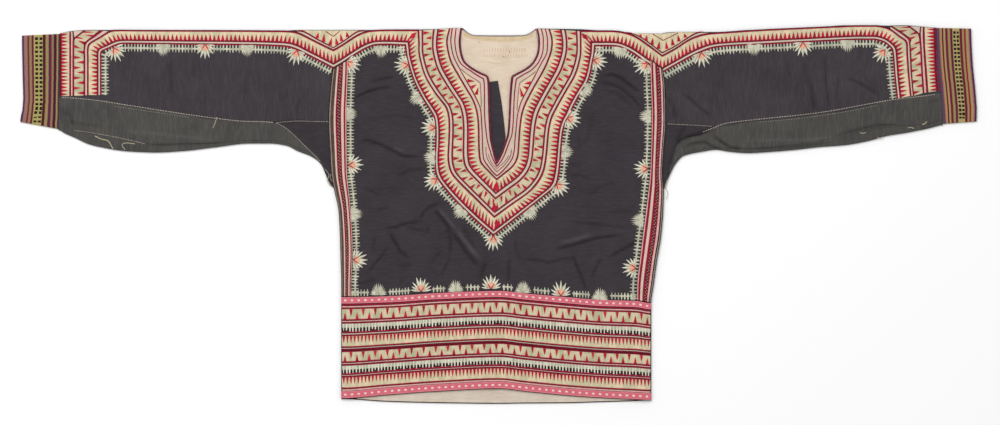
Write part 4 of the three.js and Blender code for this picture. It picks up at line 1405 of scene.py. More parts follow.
@dataclass
class Body:
    """The front and back of the body, with the lining and placket that show in the neck hole."""

    shop: Workshop
    neck_rows: int = 94
    lower_rows: int = 84
    columns: int = 104
    centre: float = -2.5
    front_flat: tuple[float, float] = (0.50, 0.40)
    back_flat: tuple[float, float] = (0.50, 0.405)

    def build(self) -> None:
        """Builds the body's cloth."""
        self.back()
        self.front()
        self.neck_lining()
        self.placket()

    def half_plan(self, neck: Places, side: Table) -> Places:
        """Returns the grid of one half of the front, from the side to the neck and the middle.

        Args:
            neck: Half outline of the neck hole and slit.
            side: The body's side curve.

        Returns:
            Rows by columns by 2; the rows below the slit end on the middle line.
        """
        foot = float(body_foot(self.centre))
        slit = resample(neck, self.neck_rows + 1, neck[[NECK_CORNER * NECK_STEPS]])
        middle = np.column_stack([np.full(self.lower_rows, self.centre),
                                  np.linspace(neck[-1, 1], foot, self.lower_rows + 1)[1:]])
        inner = np.vstack([slit, middle])
        outer = side_line(side, float(shoulder(side(SHOULDER_Y))), float(body_foot(side(WAIST_Y))),
                          len(inner))
        top = level_line(shoulder, outer[0, 0], inner[0, 0], self.columns)
        base = level_line(body_foot, outer[-1, 0], self.centre, self.columns)
        top[-1] = inner[0]
        top[0] = outer[0]
        base[0] = outer[-1]
        base[-1] = inner[-1]
        return patch(top, base, outer, inner)

    def front(self) -> None:
        """Makes the front as two halves that meet below the slit."""
        left = self.half_plan(neck_line(NECK_LEFT), body_left)
        right = self.half_plan(neck_line(NECK_RIGHT), body_right)[:, ::-1]
        plan = np.concatenate([left, right], axis=1)
        rows, columns = plan.shape[:2]
        number = np.arange(rows * columns).reshape(rows, columns)
        half = columns // 2
        joined = number[:, half].copy()
        joined[self.neck_rows :] = number[self.neck_rows :, half - 1]
        number[:, half] = joined
        under = rows * columns
        z = front_height(plan[..., 0], plan[..., 1])
        points = np.vstack([np.dstack([plan, z]).reshape(-1, 3),
                            np.dstack([plan, z - CLOTH.cotton]).reshape(-1, 3)])
        quads = np.vstack([
            *sheet_faces(number[:, :half], under, right_rows=self.neck_rows),
            *sheet_faces(number[:, half:], under, left_rows=self.neck_rows),
        ])
        used, compact = np.unique(quads, return_inverse=True)
        points = points[used]
        quads = facing_out(points, compact.reshape(quads.shape))
        piece = self.shop.mesh_piece("front_cloth", points, quads, [INDIGO], "indigo_cotton", points[:, :2])
        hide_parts("front")

    def back(self) -> None:
        """Makes the back, with its shallow scooped neck."""
        count = 26
        neck = spline(np.asarray(BACK_NECK, float), 8)
        head = np.vstack([
            level_line(shoulder, float(body_left(SHOULDER_Y)), neck[0, 0], count)[:-1],
            neck,
            level_line(shoulder, neck[-1, 0], float(body_right(272.0)), count)[1:],
        ])
        left, right = (side_line(body, top, float(body_foot(body(WAIST_Y))), 60)
                       for body, top in ((body_left, head[0, 1]), (body_right, head[-1, 1])))
        share = (head[:, 0] - head[0, 0]) / (head[-1, 0] - head[0, 0])
        x = mix(left[-1, 0], right[-1, 0], share)
        base = np.column_stack([x, body_foot(x)])
        piece = self.shop.draped("back_cloth", patch(head, base, left, right), level(CLOTH.cotton),
                                 CLOTH.cotton, INDIGO, "indigo_cotton")
        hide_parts("back")

    def neck_lining(self) -> None:
        """Makes the pale lining that shows through the neck hole."""
        left = resample(np.array([(-54.5, 277.5), (-60, 262), (-66, 250), (-66, 150), (-62, 60)]), 70)
        right = resample(np.array([(55.5, 277), (61, 262), (68, 250), (68, 150), (66, 60)]), 70)
        scoop = np.array([(-54.5, 277.5), (-42, 268.7), (-22, 267.4), (26, 267.4), (43, 268.7), (55.5, 277)])
        top = resample(spline(scoop, 8), 44)
        bottom = resample(np.array([(-62.0, 60.0), (66.0, 60.0)]), 44)
        piece = self.shop.draped("neck_lining_cloth", patch(top, bottom, left, right),
                                 lining_height, CLOTH.lining, NECK_COTTON, "lining")
        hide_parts("neck_lining")

    def placket(self) -> None:
        """Makes the dark placket that shows in the slit."""
        right = resample(np.array([(-1, 200.5), (4.5, 169.5), (8.5, 137), (10.5, 116), (3, 72)]), 44)
        left = np.column_stack([np.full(44, -22.0), np.linspace(198, 72, 44)])
        top = resample(np.array([left[0], right[0]]), 12)
        bottom = resample(np.array([left[-1], right[-1]]), 12)
        height = CLOTH.cotton + 2 * CLOTH.lining + 2 * CLOTH.gap
        piece = self.shop.draped("placket_cloth", patch(top, bottom, left, right), level(height),
                                 CLOTH.lining, INDIGO, "indigo_cotton")
        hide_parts("placket")


def sheet_faces(
    number: np.ndarray, under: int, left_rows: int | None = None, right_rows: int | None = None
) -> list[np.ndarray]:
    """Returns the faces of a closed sheet over a grid of point numbers.

    Args:
        number: Point numbers of the upper surface, rows by columns.
        under: How much higher the number of the point below each one is.
        left_rows: Spans of the left edge that are closed, all if not given.
        right_rows: The same of the right edge.

    Returns:
        Arrays of four-sided faces.
    """
    a, b, c, d = number[:-1, :-1], number[:-1, 1:], number[1:, 1:], number[1:, :-1]
    upper = np.stack([a, b, c, d], axis=-1).reshape(-1, 4)
    first, last, left, right = number[0], number[-1], number[:, 0], number[:, -1]

    def rim(p: np.ndarray, q: np.ndarray) -> np.ndarray:
        """Returns the faces between an edge and the edge below it."""
        return np.stack([q, p, p + under, q + under], axis=-1)

    return [
        upper,
        upper[:, ::-1] + under,
        rim(first[:-1], first[1:]),
        rim(last[1:], last[:-1]),
        rim(left[1:], left[:-1])[:left_rows],
        rim(right[:-1], right[1:])[:right_rows],
    ]


@dataclass
class Hem:
    """The deep stitched band round the hem: front and back bands, lining and tapes."""

    shop: Workshop
    columns: int = 96

    def build(self) -> None:
        """Builds the hem's cloth."""
        front = self.between(hem_head, front_hem, 32)
        piece = self.shop.draped("hem_front_cloth", front, hem_height, CLOTH.band, BAND_GROUND, "embroidery")
        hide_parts("hem_band_front")
        back = self.between(hem_head, back_hem, 20)
        piece = self.shop.draped("hem_back_cloth", back, level(CLOTH.band), CLOTH.band, BAND_GROUND,
                                 "embroidery")
        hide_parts("hem_band_back")
        x = np.linspace(-212, 205, self.columns)
        low = np.column_stack([x, back_hem(x) + 1.5])
        high = np.column_stack([x, back_hem(x) + 34])
        ends = [np.linspace(high[k], low[k], 12) for k in (0, -1)]
        height = CLOTH.band + CLOTH.gap + CLOTH.lining
        piece = self.shop.draped("hem_lining_cloth", patch(high, low, *ends), level(height), CLOTH.lining,
                                 HEM_COTTON, "lining")
        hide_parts("hem_lining")
        for name, (start, end) in (("top", TAPE_TOP), ("bottom", TAPE_BOTTOM)):
            plan = self.between(down_hem(start), down_hem(end), 6)
            piece = self.shop.draped(f"hem_tape_{name}_cloth", plan, tape_height, CLOTH.tape, TAPE_SILK,
                                     "tape")
            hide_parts(f"hem_tape_{name}")

    def between(self, upper: Callable, lower: Callable, rows: int) -> Places:
        """Returns a grid across the body between two curves."""
        left, right = (side_line(body, float(upper(body(HEM_Y))), float(lower(body(HEM_Y))), rows)
                       for body in (body_left, body_right))
        top = level_line(upper, left[0, 0], right[0, 0], self.columns)
        bottom = level_line(lower, left[-1, 0], right[-1, 0], self.columns)
        return patch(top, bottom, left, right)


def tape_height(x: np.ndarray, y: np.ndarray) -> np.ndarray:
    """Returns the height of the upper surface of the tapes on the hem."""
    return hem_height(x, y) + CLOTH.gap + CLOTH.tape


def lining_height(x: np.ndarray, y: np.ndarray) -> np.ndarray:
    """Returns the height of the neck lining's upper surface, softly rumpled in the hole."""
    open_part = np.exp(-((x / 45) ** 2) - ((y - 235) / 24) ** 2)
    rumple = 0.5 + 0.5 * np.sin(x / 9 + y / 14) * np.sin(x / 23 - y / 7)
    return CLOTH.cotton + CLOTH.gap + CLOTH.lining + 0.7 * open_part * rumple


def strip_height(x: np.ndarray, y: np.ndarray) -> np.ndarray:
    """Returns the height of the upper surface of the side strips."""
    return front_height(x, y) + CLOTH.gap + CLOTH.tape


@dataclass
class SideStrip:
    """A stitched strip sewn down one side of the front, from the shoulder to the waist."""

    shop: Workshop
    side: str

    def build(self) -> None:
        """Builds the strip's cloth."""
        away, near = (side_line(curve, head, float(body_foot(curve(STRIP_Y))), 96)
                      for curve, head in zip(STRIP_EDGES[self.side], STRIP_TOPS))
        top = np.linspace(away[0], near[0], 8)
        bottom = np.linspace(away[-1], near[-1], 8)
        piece = self.shop.draped(f"side_strip_{self.side}_cloth", patch(top, bottom, away, near),
                                 strip_height, CLOTH.tape, BAND_GROUND, "embroidery")
        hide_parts(f"side_strip_{self.side}")


@dataclass
class Sleeve:
    """A flattened sleeve: upper cloth folded over the top, underarm strip, armpit piece and cuff."""

    shop: Workshop
    plan: SleevePlan
    stripes: tuple[tuple[float, str], ...]
    armpit_area: float
    upper_steps: int = 36
    fold_steps: int = 6
    under_steps: int = 30
    station_step: float = 3.0

    def build(self) -> None:
        """Builds the sleeve's cloth and cuff."""
        self.cloth()
        self.patches()
        self.cuff()

    def section(self, top: float, bottom: float, start: float, end: float) -> np.ndarray:
        """Returns one cross-section of a flattened tube, from its upper side round both folds.

        Args:
            top: Y of the top fold.
            bottom: Y of the lower edge.
            start: Where the section starts on the upper side.
            end: Where it ends, near the lower edge.

        Returns:
            For each point its y and z and the y and z of its outward direction.
        """
        radius = CLOTH.sleeve_top / 2

        def flat(y: np.ndarray, z: float, up: float) -> np.ndarray:
            """Returns a level stretch."""
            return np.column_stack([y, np.full_like(y, z), np.zeros_like(y), np.full_like(y, up)])

        def fold(centre: float, turn: float) -> np.ndarray:
            """Returns a half circle that turns down or up."""
            angle = np.linspace(turn, turn - math.pi, self.fold_steps + 1)
            return np.column_stack([centre + radius * np.cos(angle), radius + radius * np.sin(angle),
                                    np.cos(angle), np.sin(angle)])

        upper = np.linspace(start, top - radius, self.upper_steps + 1)[:-1]
        under = np.linspace(top - radius, bottom + radius, self.under_steps + 1)[1:-1]
        sliver = np.linspace(bottom + radius, end, 3)[1:]
        return np.vstack([
            flat(upper, CLOTH.sleeve_top, 1.0),
            fold(top - radius, math.pi / 2),
            flat(under, 0.0, -1.0),
            fold(bottom + radius, -math.pi / 2),
            flat(sliver, CLOTH.sleeve_top, 1.0),
        ])

    def tube(
        self, sections: Sequence[np.ndarray], xs: Sequence[np.ndarray], limits: Sequence[tuple[float, float]]
    ) -> tuple[np.ndarray, np.ndarray]:
        """Returns the outer and inner points of a flattened tube.

        Args:
            sections: Its cross-sections.
            xs: X of each point of each section.
            limits: Y of the top fold and of the lower edge of each section.

        Returns:
            Two grids, sections by points by 3.
        """
        grids: list[list[np.ndarray]] = [[], []]
        for points, x, (top, bottom) in zip(sections, xs, limits):
            y, z, out_y, out_z = points.T
            edge = np.minimum(top - y, y - bottom)
            lift = np.where(out_z > 0.99, relief(x, y) * ease(edge / CLOTH.roll), 0.0)
            for grid, depth in zip(grids, (0.0, CLOTH.cotton)):
                grid.append(np.column_stack([x, y - out_y * depth, z - out_z * depth + lift]))
        return np.array(grids[0]), np.array(grids[1])

    def stations(self, start: float, end: float) -> np.ndarray:
        """Returns section places from one end to another, no further apart than the station step."""
        return np.linspace(start, end, max(4, int(abs(end - start) / self.station_step)) + 1)

    def cloth(self) -> None:
        """Makes the cloth that folds over the top of the arm."""
        plan = self.plan
        top, seam, low, bottom = (plan.column(name) for name in ("top", "seam", "low", "bottom"))
        stations = self.stations(plan.cuff_x, plan.arm_x)
        sections, xs, limits = [], [], []
        for x in stations:
            limits.append((float(top(x)), float(bottom(x))))
            points = self.section(*limits[-1], float(seam(x)) + CLOTH.gap / 2, float(low(x)) - CLOTH.gap / 2)
            sections.append(points)
            xs.append(plan.place(np.full(len(points), x), points[:, 0]))
        outer, inner = self.tube(sections, xs, limits)
        spans = outer.shape[1] - 1
        below_strip = np.arange(spans) >= spans - 2 - self.fold_steps // 2
        piece = self.shop.wall_piece(f"sleeve_{plan.side}_cloth", outer, inner, SLEEVE_INDIGO_PAINTED_LIGHTER,
                                     "indigo_cotton", second=(STRIP_COTTON, below_strip))
        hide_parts(f"sleeve_{plan.side}")

    def patches(self) -> None:
        """Makes the faded strip under the arm and the piece let into the armpit."""
        plan = self.plan
        pieces = (
            ("underarm_strip", "strip", "low", plan.cuff_x, plan.strip_end, STRIP_COTTON, "strip_cotton"),
            ("armpit_piece", "seam", "strip", plan.armpit_start, plan.arm_x, ARMPIT_COTTON, "indigo_cotton"),
        )
        for name, above, below, start, end, finish, slot in pieces:
            upper, lower = plan.column(above), plan.column(below)
            x = self.stations(start, end)
            share = np.linspace(0, 1, 17)
            y = mix(upper(x)[:, None] - CLOTH.gap / 2, lower(x)[:, None] + CLOTH.gap / 2, share[None])
            grid = np.dstack([plan.place(np.broadcast_to(x[:, None], y.shape), y), y])
            piece = self.shop.draped(f"{name}_{plan.side}_cloth", grid, plan.height, CLOTH.cotton, finish,
                                     slot)
            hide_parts(f"{name}_{plan.side}")

    def cuff(self) -> None:
        """Makes the striped cuff, a flattened ring."""
        plan = self.plan
        seam, end = Table(plan.cuff, 1), Table(plan.cuff, 2)
        top_seam, top_end, bottom_seam, bottom_end = plan.cuff_edges
        sections, xs, limits, uv = [], [], [], []
        for share in np.linspace(0, 1, 15):
            top, bottom = mix(top_seam, top_end, share), mix(bottom_seam, bottom_end, share)
            middle = mix(top, bottom, 0.72)
            points = self.section(top, bottom, middle, middle - 2)
            sections.append(points)
            xs.append(mix(seam(points[:, 0]), end(points[:, 0]), share))
            limits.append((top, bottom))
            uv.append(np.column_stack([np.full(len(points), share), points[:, 0]]))
        outer, inner = self.tube(sections, xs, limits)
        finish = StripedWeave(f"striped_cuff_weave_{plan.side}", self.stripes)
        piece = self.shop.wall_piece(f"cuff_{plan.side}_cloth", outer, inner, finish, "striped_weave",
                                     ring=True, uv=np.array(uv))
        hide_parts(f"cuff_{plan.side}")


LEFT_STRIPES = (
    (0.0, "#4e3342"), (0.034, "#a08355"), (0.075, "#3f1321"), (0.152, "#906c55"), (0.21, "#572337"),
    (0.29, "#978056"), (0.37, "#4b111d"), (0.447, "#a89c5e"), (0.687, "#630d28"), (0.74, "#907456"),
    (0.81, "#6a182a"), (0.853, "#966b60"), (0.945, "#4a3050"),
)
RIGHT_STRIPES = (
    (0.0, "#583f52"), (0.08, "#a8665e"), (0.112, "#a98e58"), (0.15, "#570f19"), (0.195, "#a58c60"),
    (0.25, "#6b152f"), (0.32, "#948254"), (0.39, "#5d1430"), (0.457, "#ac9a64"), (0.66, "#641725"),
    (0.735, "#9c8458"), (0.79, "#86172a"), (0.84, "#a08c5c"), (0.915, "#995968"), (0.945, "#4e233e"),
)


# ---------------------------------------------------------------- embroidery on the cloth

# Rows of the front hem band, from the waist seam down, in pixels of its depth.
HEM_DEPTH = 101.8
HEM_ROWS = (
    line_row(8.4), line_row(11.6, 0.2), Row(GROUND, 9.2, 10.8, Thread.ROSE),
    Row(GROUND, 12.4, 22.5, Thread.MINT), Row(ZIGZAG, 12.6, 22.4, Thread.RED, 6.05, base=0.54),
    line_row(23.2), Row(GROUND, 24, 25.3, Thread.ROSE), line_row(26.1, 0.2),
    Row(HALF_LADDER, 27, 34.9, Thread.WHITE, 3.2), line_row(35.7), Row(GROUND, 36.5, 37.9, Thread.PALE),
    line_row(38.6, 0.2), Row(GROUND, 39.4, 49.4, Thread.CREAM),
    Row(TEETH_IN, 39.6, 46.4, Thread.RED, 3.65, base=0.72), line_row(50.2),
    Row(GROUND, 51, 51.9, Thread.PALE), line_row(52.8, 0.2, 1.4), line_row(54.5, 0.2, 1.4),
    Row(GROUND, 55.3, 64.5, Thread.MINT), Row(ZIGZAG, 55.4, 64.4, Thread.RED, 6.05, base=0.54),
    line_row(65.2), Row(GROUND, 66, 67.2, Thread.ROSE), line_row(68, 0.2),
    Row(HALF_LADDER, 69, 76.4, Thread.WHITE, 3.2), line_row(77.2), Row(GROUND, 78, 79, Thread.ROSE),
    line_row(79.8, 0.2), Row(GROUND, 80.5, 90.5, Thread.CREAM),
    Row(TEETH_IN, 80.7, 87.4, Thread.RED, 3.65, base=0.72), line_row(91.4),
    Row(GROUND, 92.2, 93.8, Thread.ROSE),
)
# Rows of the side strips, from their inner edge outwards.
STRIP_ROWS = {
    "left": (16.9, (
        Row(GROUND, 0.1, 1.1, Thread.ROSE), line_row(1.9, 0.5), Row(GROUND, 2.8, 5.3, Thread.PALE),
        line_row(6.1, 0.5, 1.5), Row(GROUND, 6.8, 9, Thread.MAROON),
        Row(ZIGZAG, 6.9, 8.9, Thread.PALE, 1.7, base=0.45), line_row(9.8, 0.5, 1.8),
        Row(GROUND, 10.7, 12.5, Thread.PALE), Row(GROUND, 12.6, 15.5, Thread.BROWN),
        Row(GROUND, 15.7, 16.8, Thread.GREY),
    )),
    "right": (13.0, (
        Row(GROUND, 0.1, 0.9, Thread.ROSE), line_row(1.8, 0.5, 1.9), Row(GROUND, 2.8, 4.9, Thread.PALE),
        line_row(6, 0.5, 1.9), Row(GROUND, 6.9, 8.6, Thread.MAROON),
        Row(ZIGZAG, 7, 8.5, Thread.PALE, 1.7, base=0.45), line_row(9.1, 0.5, 1),
        Row(GROUND, 9.6, 11.2, Thread.ROSE), Row(GROUND, 11.3, 12, Thread.BLACK),
        Row(GROUND, 12.1, 12.9, Thread.GREY),
    )),
}
STRIP_EDGING = {"left": Row(LADDER, 0.0, 1.0, Thread.SAGE, 3.05),
                "right": Row(LADDER, 0.0, 1.0, Thread.SAGE, 3.5)}
# Lines of six points down the end of each sleeve, from the border to the cuff, and the rows between them.
COLUMN_LEFT = np.reshape((
    110, 31.4, 100, 37.6, 90.5, 43.2, 88, 48, 87.9, 60, 87.9, 95, 101.3, 30.6, 94, 36.5, 86.5, 42, 84.6, 47,
    84.5, 60, 84.5, 95.4, 84.5, 30.6, 79, 34.8, 74.4, 38.4, 73.5, 42, 73.4, 60, 73.4, 95.8, 72.9, 31.3,
    73.3, 34.8, 73.5, 38.4, 73.5, 42, 73.4, 60, 73.4, 95.8, 70, 31.7, 70, 34.8, 70, 38.4, 70, 42, 70, 60,
    70, 96, 61, 33.2, 61, 36, 61, 38.4, 61, 42, 61, 60, 61, 96,
), (-1, 6, 2))
COLUMN_RIGHT = np.reshape((
    890, 29.4, 900, 37, 906.3, 42, 907.1, 53, 908.5, 73.6, 910.7, 95.9, 891, 26.1, 908, 37.9, 909.6, 43,
    910.4, 54, 911.4, 74, 913.4, 95.9, 908.4, 26, 918.6, 33.8, 920, 40, 920.8, 48, 922, 72, 923.4, 93,
    920.6, 26.8, 919.9, 33.8, 920.2, 40, 920.8, 48, 922, 72, 923.4, 93, 923.8, 27, 923.9, 33.8, 924.1, 40,
    924.4, 48, 926.1, 72, 927.6, 92.3, 934.2, 28, 934.4, 33.8, 934.5, 40, 934.7, 48, 935.4, 72, 936.9, 91,
    936, 28, 936.3, 33.8, 936.5, 40, 936.9, 48, 938.8, 72, 940.4, 90.5,
), (-1, 6, 2))
COLUMN_ROWS = (
    (3.4, (Row(GROUND, 0.7, 2.7, Thread.PALE), line_row(3.4))),
    (11.1, (Row(GROUND, 0.8, 10.3, Thread.MINT), Row(ZIGZAG, 1.0, 10.1, Thread.RED, 5.25, base=0.6),
     line_row(11.1))),
    (0.4, ()),
    (3.4, (Row(GROUND, 0.8, 2.6, Thread.ROSE), line_row(3.4, 0.2))),
    (9.2, (Row(GROUND, 0.8, 8.6, Thread.CREAM), Row(TEETH_OUT, 2.4, 8.4, Thread.RED, 3.6), line_row(9.2))),
    (2.0, (Row(GROUND, 0.3, 1.9, Thread.PLUM),)),
)
# Cloth that shows above the diagonal of the columns, between the diagonal and the first straight line.
COLUMN_CORNERS = {
    "left": ((83.4, 30.6, 79, 34.6, 75, 38.0), (73.6, 31.2, 74, 34.8, 74.3, 38.0)),
    "right": ((909.6, 26.2, 914.6, 30.2, 919, 33.6), (920, 26.7, 919.6, 30.2, 919.4, 33.6)),
}
# The fork between the borders: matching points of the cloth's edge, of the fork's line and of the borders'.
FORK_LEFT = np.reshape((
    296.4, 30.5, 296.9, 31, 297.4, 33, 303, 30.4, 304.3, 31.3, 304.3, 36.1, 318, 30.4, 318, 39.3, 319.4,
    43.8, 333.3, 30.4, 333.2, 47.4, 333.4, 50.4, 345.1, 30.4, 345.1, 39.8, 345.1, 43.5, 357.5, 30.4, 357.3,
    31.3, 357.3, 35.6, 366.6, 30.2, 367, 30.7, 367.5, 31.9,
), (-1, 3, 2))
FORK_RIGHT = np.reshape((
    620.4, 31.8, 621, 32, 622, 32.6, 630, 32.6, 631.3, 33, 634.7, 36.4, 643, 33.4, 642.6, 38, 644.6, 43,
    662.4, 33.8, 662.2, 52.4, 662.3, 56, 676, 32.3, 675, 46, 675, 49.1, 697, 32.3, 695.6, 33, 697.9, 36.4,
    708, 32.2, 708.3, 32.6, 708.6, 34,
), (-1, 3, 2))
FORK_STRIP = (4.0, (Row(GROUND, 0.8, 3.2, Thread.PALE), line_row(0.2)))
# Wedges in the fork and the cords that cap it: root and tip of each wedge, and points of the cords.
FORK_TEETH = {
    "left": (317, 38, 318.6, 32.6, 323.5, 41.6, 324.2, 34, 330, 45, 331.6, 38, 337, 44.3, 336, 38, 341.6,
     41, 340.6, 34, 347.6, 37, 346.6, 32),
    "right": (640, 37, 641.4, 34, 646, 40.6, 647, 35, 652, 44.6, 653, 38, 658.4, 48.6, 659.4, 41.6, 667,
     48.8, 666, 42, 673, 45.2, 672, 38.4, 679, 41.4, 678, 35, 685.4, 37.4, 684.6, 33.4),
}
FORK_TOPS = {
    "left": (325.7, 31.4, 333.4, 36.4, 339.4, 31.2),
    "right": (652.8, 34, 663, 40.4, 677.8, 33.2),
}
# Cords between the neck hole and the yoke, each with its width, its thread and its runs of pixels; they end
# in points below the slit.
NECK_CORDS = {
    "left": (
        (2.3, Thread.PLUM, (461.2, 28, 459.9, 36, 459.6, 43, 460.8, 53, 463.7, 61.3, 468, 65.8, 474, 69.9,
         480, 73.2, 487, 76.2), (487, 76.2, 488.2, 81, 488.6, 88.9, 488.8, 100, 489.1, 113, 489.9, 131,
         490.8, 140, 492, 146, 493.5, 152, 494.7, 157.3, 496.8, 163.4)),
        (1.7, Thread.DARK_RED, (456.1, 28, 455.2, 36, 454.9, 43, 456.4, 53, 459.8, 62, 465.2, 67.4, 470.6,
         70.9, 476, 74.7, 483.6, 79), (483.6, 79, 484.3, 86, 484.5, 100, 484.5, 113, 485.1, 122, 486, 131,
         487.2, 140, 488.7, 146, 490.5, 152, 492, 156.7, 494.4, 162.1, 496.8, 166.2)),
        (0.9, Thread.DARK_RED, (461, 69, 465.2, 72.8, 470.6, 76.6, 476, 79.7, 480.3, 83), (480.3, 83, 480.8,
         92, 481.2, 100, 481.2, 107)),
        (1.7, Thread.DARK_RED, (452.4, 28, 451.2, 36, 450.9, 43, 452.6, 53, 455.7, 61.3, 459.9, 69, 464.6,
         77.5, 469.5, 86, 474, 94, 477.5, 101, 480, 107, 481, 113, 481.6, 122, 482.3, 135, 482.7, 149,
         483.3, 156.7, 484.5, 161, 487.8, 165.7, 492, 171.1, 496.8, 175.9)),
        (0.8, Thread.DARK_RED, (488.4, 154.3, 490.2, 159.9, 493.2, 164.7, 496.8, 168.6)),
        (1.1, Thread.DARK_RED, (486, 147, 486.3, 155, 488.1, 160.3, 492, 166.3, 496.8, 171.7)),
    ),
    "right": (
        (2.3, Thread.PLUM, (537, 28.5, 538.8, 36, 539.2, 43, 538.1, 53, 534.4, 61.3, 530, 66.6, 524, 70.5,
         518, 73.6, 512.4, 76.6), (512.4, 76.6, 511.6, 82, 511.1, 88.9, 510.4, 100, 510, 110, 509.5, 122,
         508.4, 134, 506.6, 140, 504.5, 146, 502.5, 152, 499.8, 158, 496.8, 163.4)),
        (1.7, Thread.DARK_RED, (541.2, 28.5, 543, 36, 543.3, 43, 542.5, 53, 538.7, 62, 534.9, 66.7, 530.3,
         70.9, 524.2, 74.3, 516.4, 79), (516.4, 79, 515.5, 85, 514.6, 92.7, 514.1, 100.3, 513.7, 109.5,
         513.2, 122, 512, 134, 510, 140, 507.8, 146, 505.7, 152, 503, 158, 499.6, 163.4, 496.8, 166.2)),
        (0.9, Thread.DARK_RED, (535.6, 71.4, 530.3, 75.9, 524.2, 79.7, 519.6, 83), (519.6, 83, 518.6, 90,
         517.8, 99, 517, 110)),
        (1.7, Thread.DARK_RED, (545.2, 28.5, 547, 36, 547.5, 43, 546.7, 53, 542.5, 61.3, 538.7, 68.2, 534.9,
         75.9, 530.3, 84.3, 525.7, 92.7, 521.1, 101.9, 518.8, 109.5, 517.5, 115, 516.7, 122, 515.9, 131,
         515, 140, 514.4, 149, 513.2, 155.5, 511.2, 160.4, 506.9, 166.3, 501.6, 172, 496.8, 175.9)),
        (0.8, Thread.DARK_RED, (508.6, 155.5, 506.3, 159.4, 502.4, 163.9, 496.8, 168.6)),
        (1.1, Thread.DARK_RED, (511.4, 149.5, 510.6, 155.5, 508.2, 160, 503.6, 166, 496.8, 171.7)),
    ),
}
# Filled corners beside the neck: two joined fans of cream from the corner, and three red wedges.
CORNER_FANS = {
    "left": (((460.7, 70.6, 465.4, 79, 470, 87), (461.6, 70, 470.6, 77.2, 479.8, 83.6)), ((470, 87, 474.6,
     95, 478.2, 102, 480.6, 107.6), (479.8, 83.6, 480.3, 92, 480.7, 100, 480.9, 107.6))),
    "right": (((537.8, 69.9, 534.2, 77.2, 530.3, 84.3), (535.8, 71.9, 528, 77.9, 520.2, 83.4)), ((530.3,
     84.3, 525.5, 93, 521, 102, 518.2, 110), (520.2, 83.4, 519.2, 91, 518.3, 100, 517.6, 110))),
}
CORNER_TEETH = {
    "left": (467.4, 80.6, 474.4, 81.4, 471.4, 87.6, 476.6, 84.6, 476.2, 94.6, 478.3, 87.4),
    "right": (530.6, 82.9, 524.4, 83.7, 528.2, 88.6, 522.6, 86.4, 522.4, 96.4, 520.2, 88),
}
# What shows on the lining inside the neck: the facing round the scoop, stitches and small marks.
FACING = (
    (464, 31, 475, 35.4, 500, 36.6, 522, 36, 534.5, 31.4),
    (463.4, 35, 473, 38.4, 501, 41, 524, 39.4, 533, 35.2),
)
INSIDE_ROWS = (((483, 51.8, 528, 51.6), (484, 47.4, 527, 47.8)), ((484, 57, 528, 57), (482, 53, 529, 53.4)))
INSIDE_LINES = (
    (496, 57.6, 508, 57.5, 520, 57.4), (481, 61.5, 490, 62.4, 501, 63.8),
    (464, 35.6, 473, 39, 501, 41.6, 524, 40, 533, 35.8),
)
INSIDE_MARKS = (
    501.9, 38.2, 503.1, 38.4, 499.1, 40.5, 500.1, 40.7, 478.8, 41.9, 480, 42.2, 502.6, 56.2, 504.6, 56.5,
    509.6, 50.8, 509.8, 53.4,
)
AXIS_DIAMONDS = (496.7, 192.6, 496.7, 181, 494.2, 212.8, 494.4, 202.6, 497, 227.4, 496.4, 219)
SHOULDER_DIAMONDS = (409.6, 38.8, 416.6, 32.2, 588.2, 40, 581.6, 33.2)


class Flower(Enum):
    """The two kinds of rosette."""

    STAR = "a red fork with long pointed petals"
    FAN = "a close fan of fine rays"


# Rosettes: kind, column and row of its middle, and the way it opens in degrees from +X.
ROSETTES = (
    (Flower.STAR, 351.2, 64.6, -35), (Flower.FAN, 350, 114, 0), (Flower.STAR, 353.5, 165, 0),
    (Flower.FAN, 355.5, 214, 0), (Flower.STAR, 358, 260, 0), (Flower.STAR, 643.6, 66, 215),
    (Flower.FAN, 646, 116.4, 180), (Flower.STAR, 643, 169, 180), (Flower.FAN, 638.5, 220.4, 180),
    (Flower.STAR, 631.3, 268, 180), (Flower.FAN, 381, 51, -90), (Flower.FAN, 620, 52, -95),
    (Flower.STAR, 403.5, 65.5, 188), (Flower.FAN, 416, 98.5, 215), (Flower.STAR, 430.5, 127.6, 180),
    (Flower.FAN, 430.5, 157.5, 180), (Flower.STAR, 433, 181.5, 215), (Flower.FAN, 460, 212, 228),
    (Flower.STAR, 493.4, 241, -90), (Flower.STAR, 598, 61, -10), (Flower.FAN, 586, 90.7, -32),
    (Flower.STAR, 571.5, 119.4, -20), (Flower.FAN, 566.5, 152, -3), (Flower.STAR, 560, 187, -38),
    (Flower.FAN, 531, 213.5, -50), (Flower.FAN, 378.5, 290.4, 90), (Flower.STAR, 421, 287, 90),
    (Flower.FAN, 455.5, 287, 92), (Flower.STAR, 491, 284, 90), (Flower.FAN, 523, 288, 88),
    (Flower.STAR, 561, 291, 88), (Flower.FAN, 600, 295, 86), (Flower.STAR, 116, 52, -60),
    (Flower.FAN, 163, 49, -90), (Flower.STAR, 205, 49, -90), (Flower.FAN, 247, 49.5, -90),
    (Flower.STAR, 296, 55, -105), (Flower.STAR, 702, 57, -75), (Flower.FAN, 754, 48.5, -90),
    (Flower.STAR, 803, 47, -90), (Flower.FAN, 847.5, 45, -90), (Flower.STAR, 882, 53.6, -125),
)


# Stretches of the waist, in pixel columns, that the ladder fills between the rosettes.
WAIST_GAPS = (
    (350.6, 368.8), (388.4, 410), (432.2, 445.4), (465.6, 479.8), (502.4, 513), (533.2, 549.8),
    (572.4, 590), (610.2, 636.2),
)
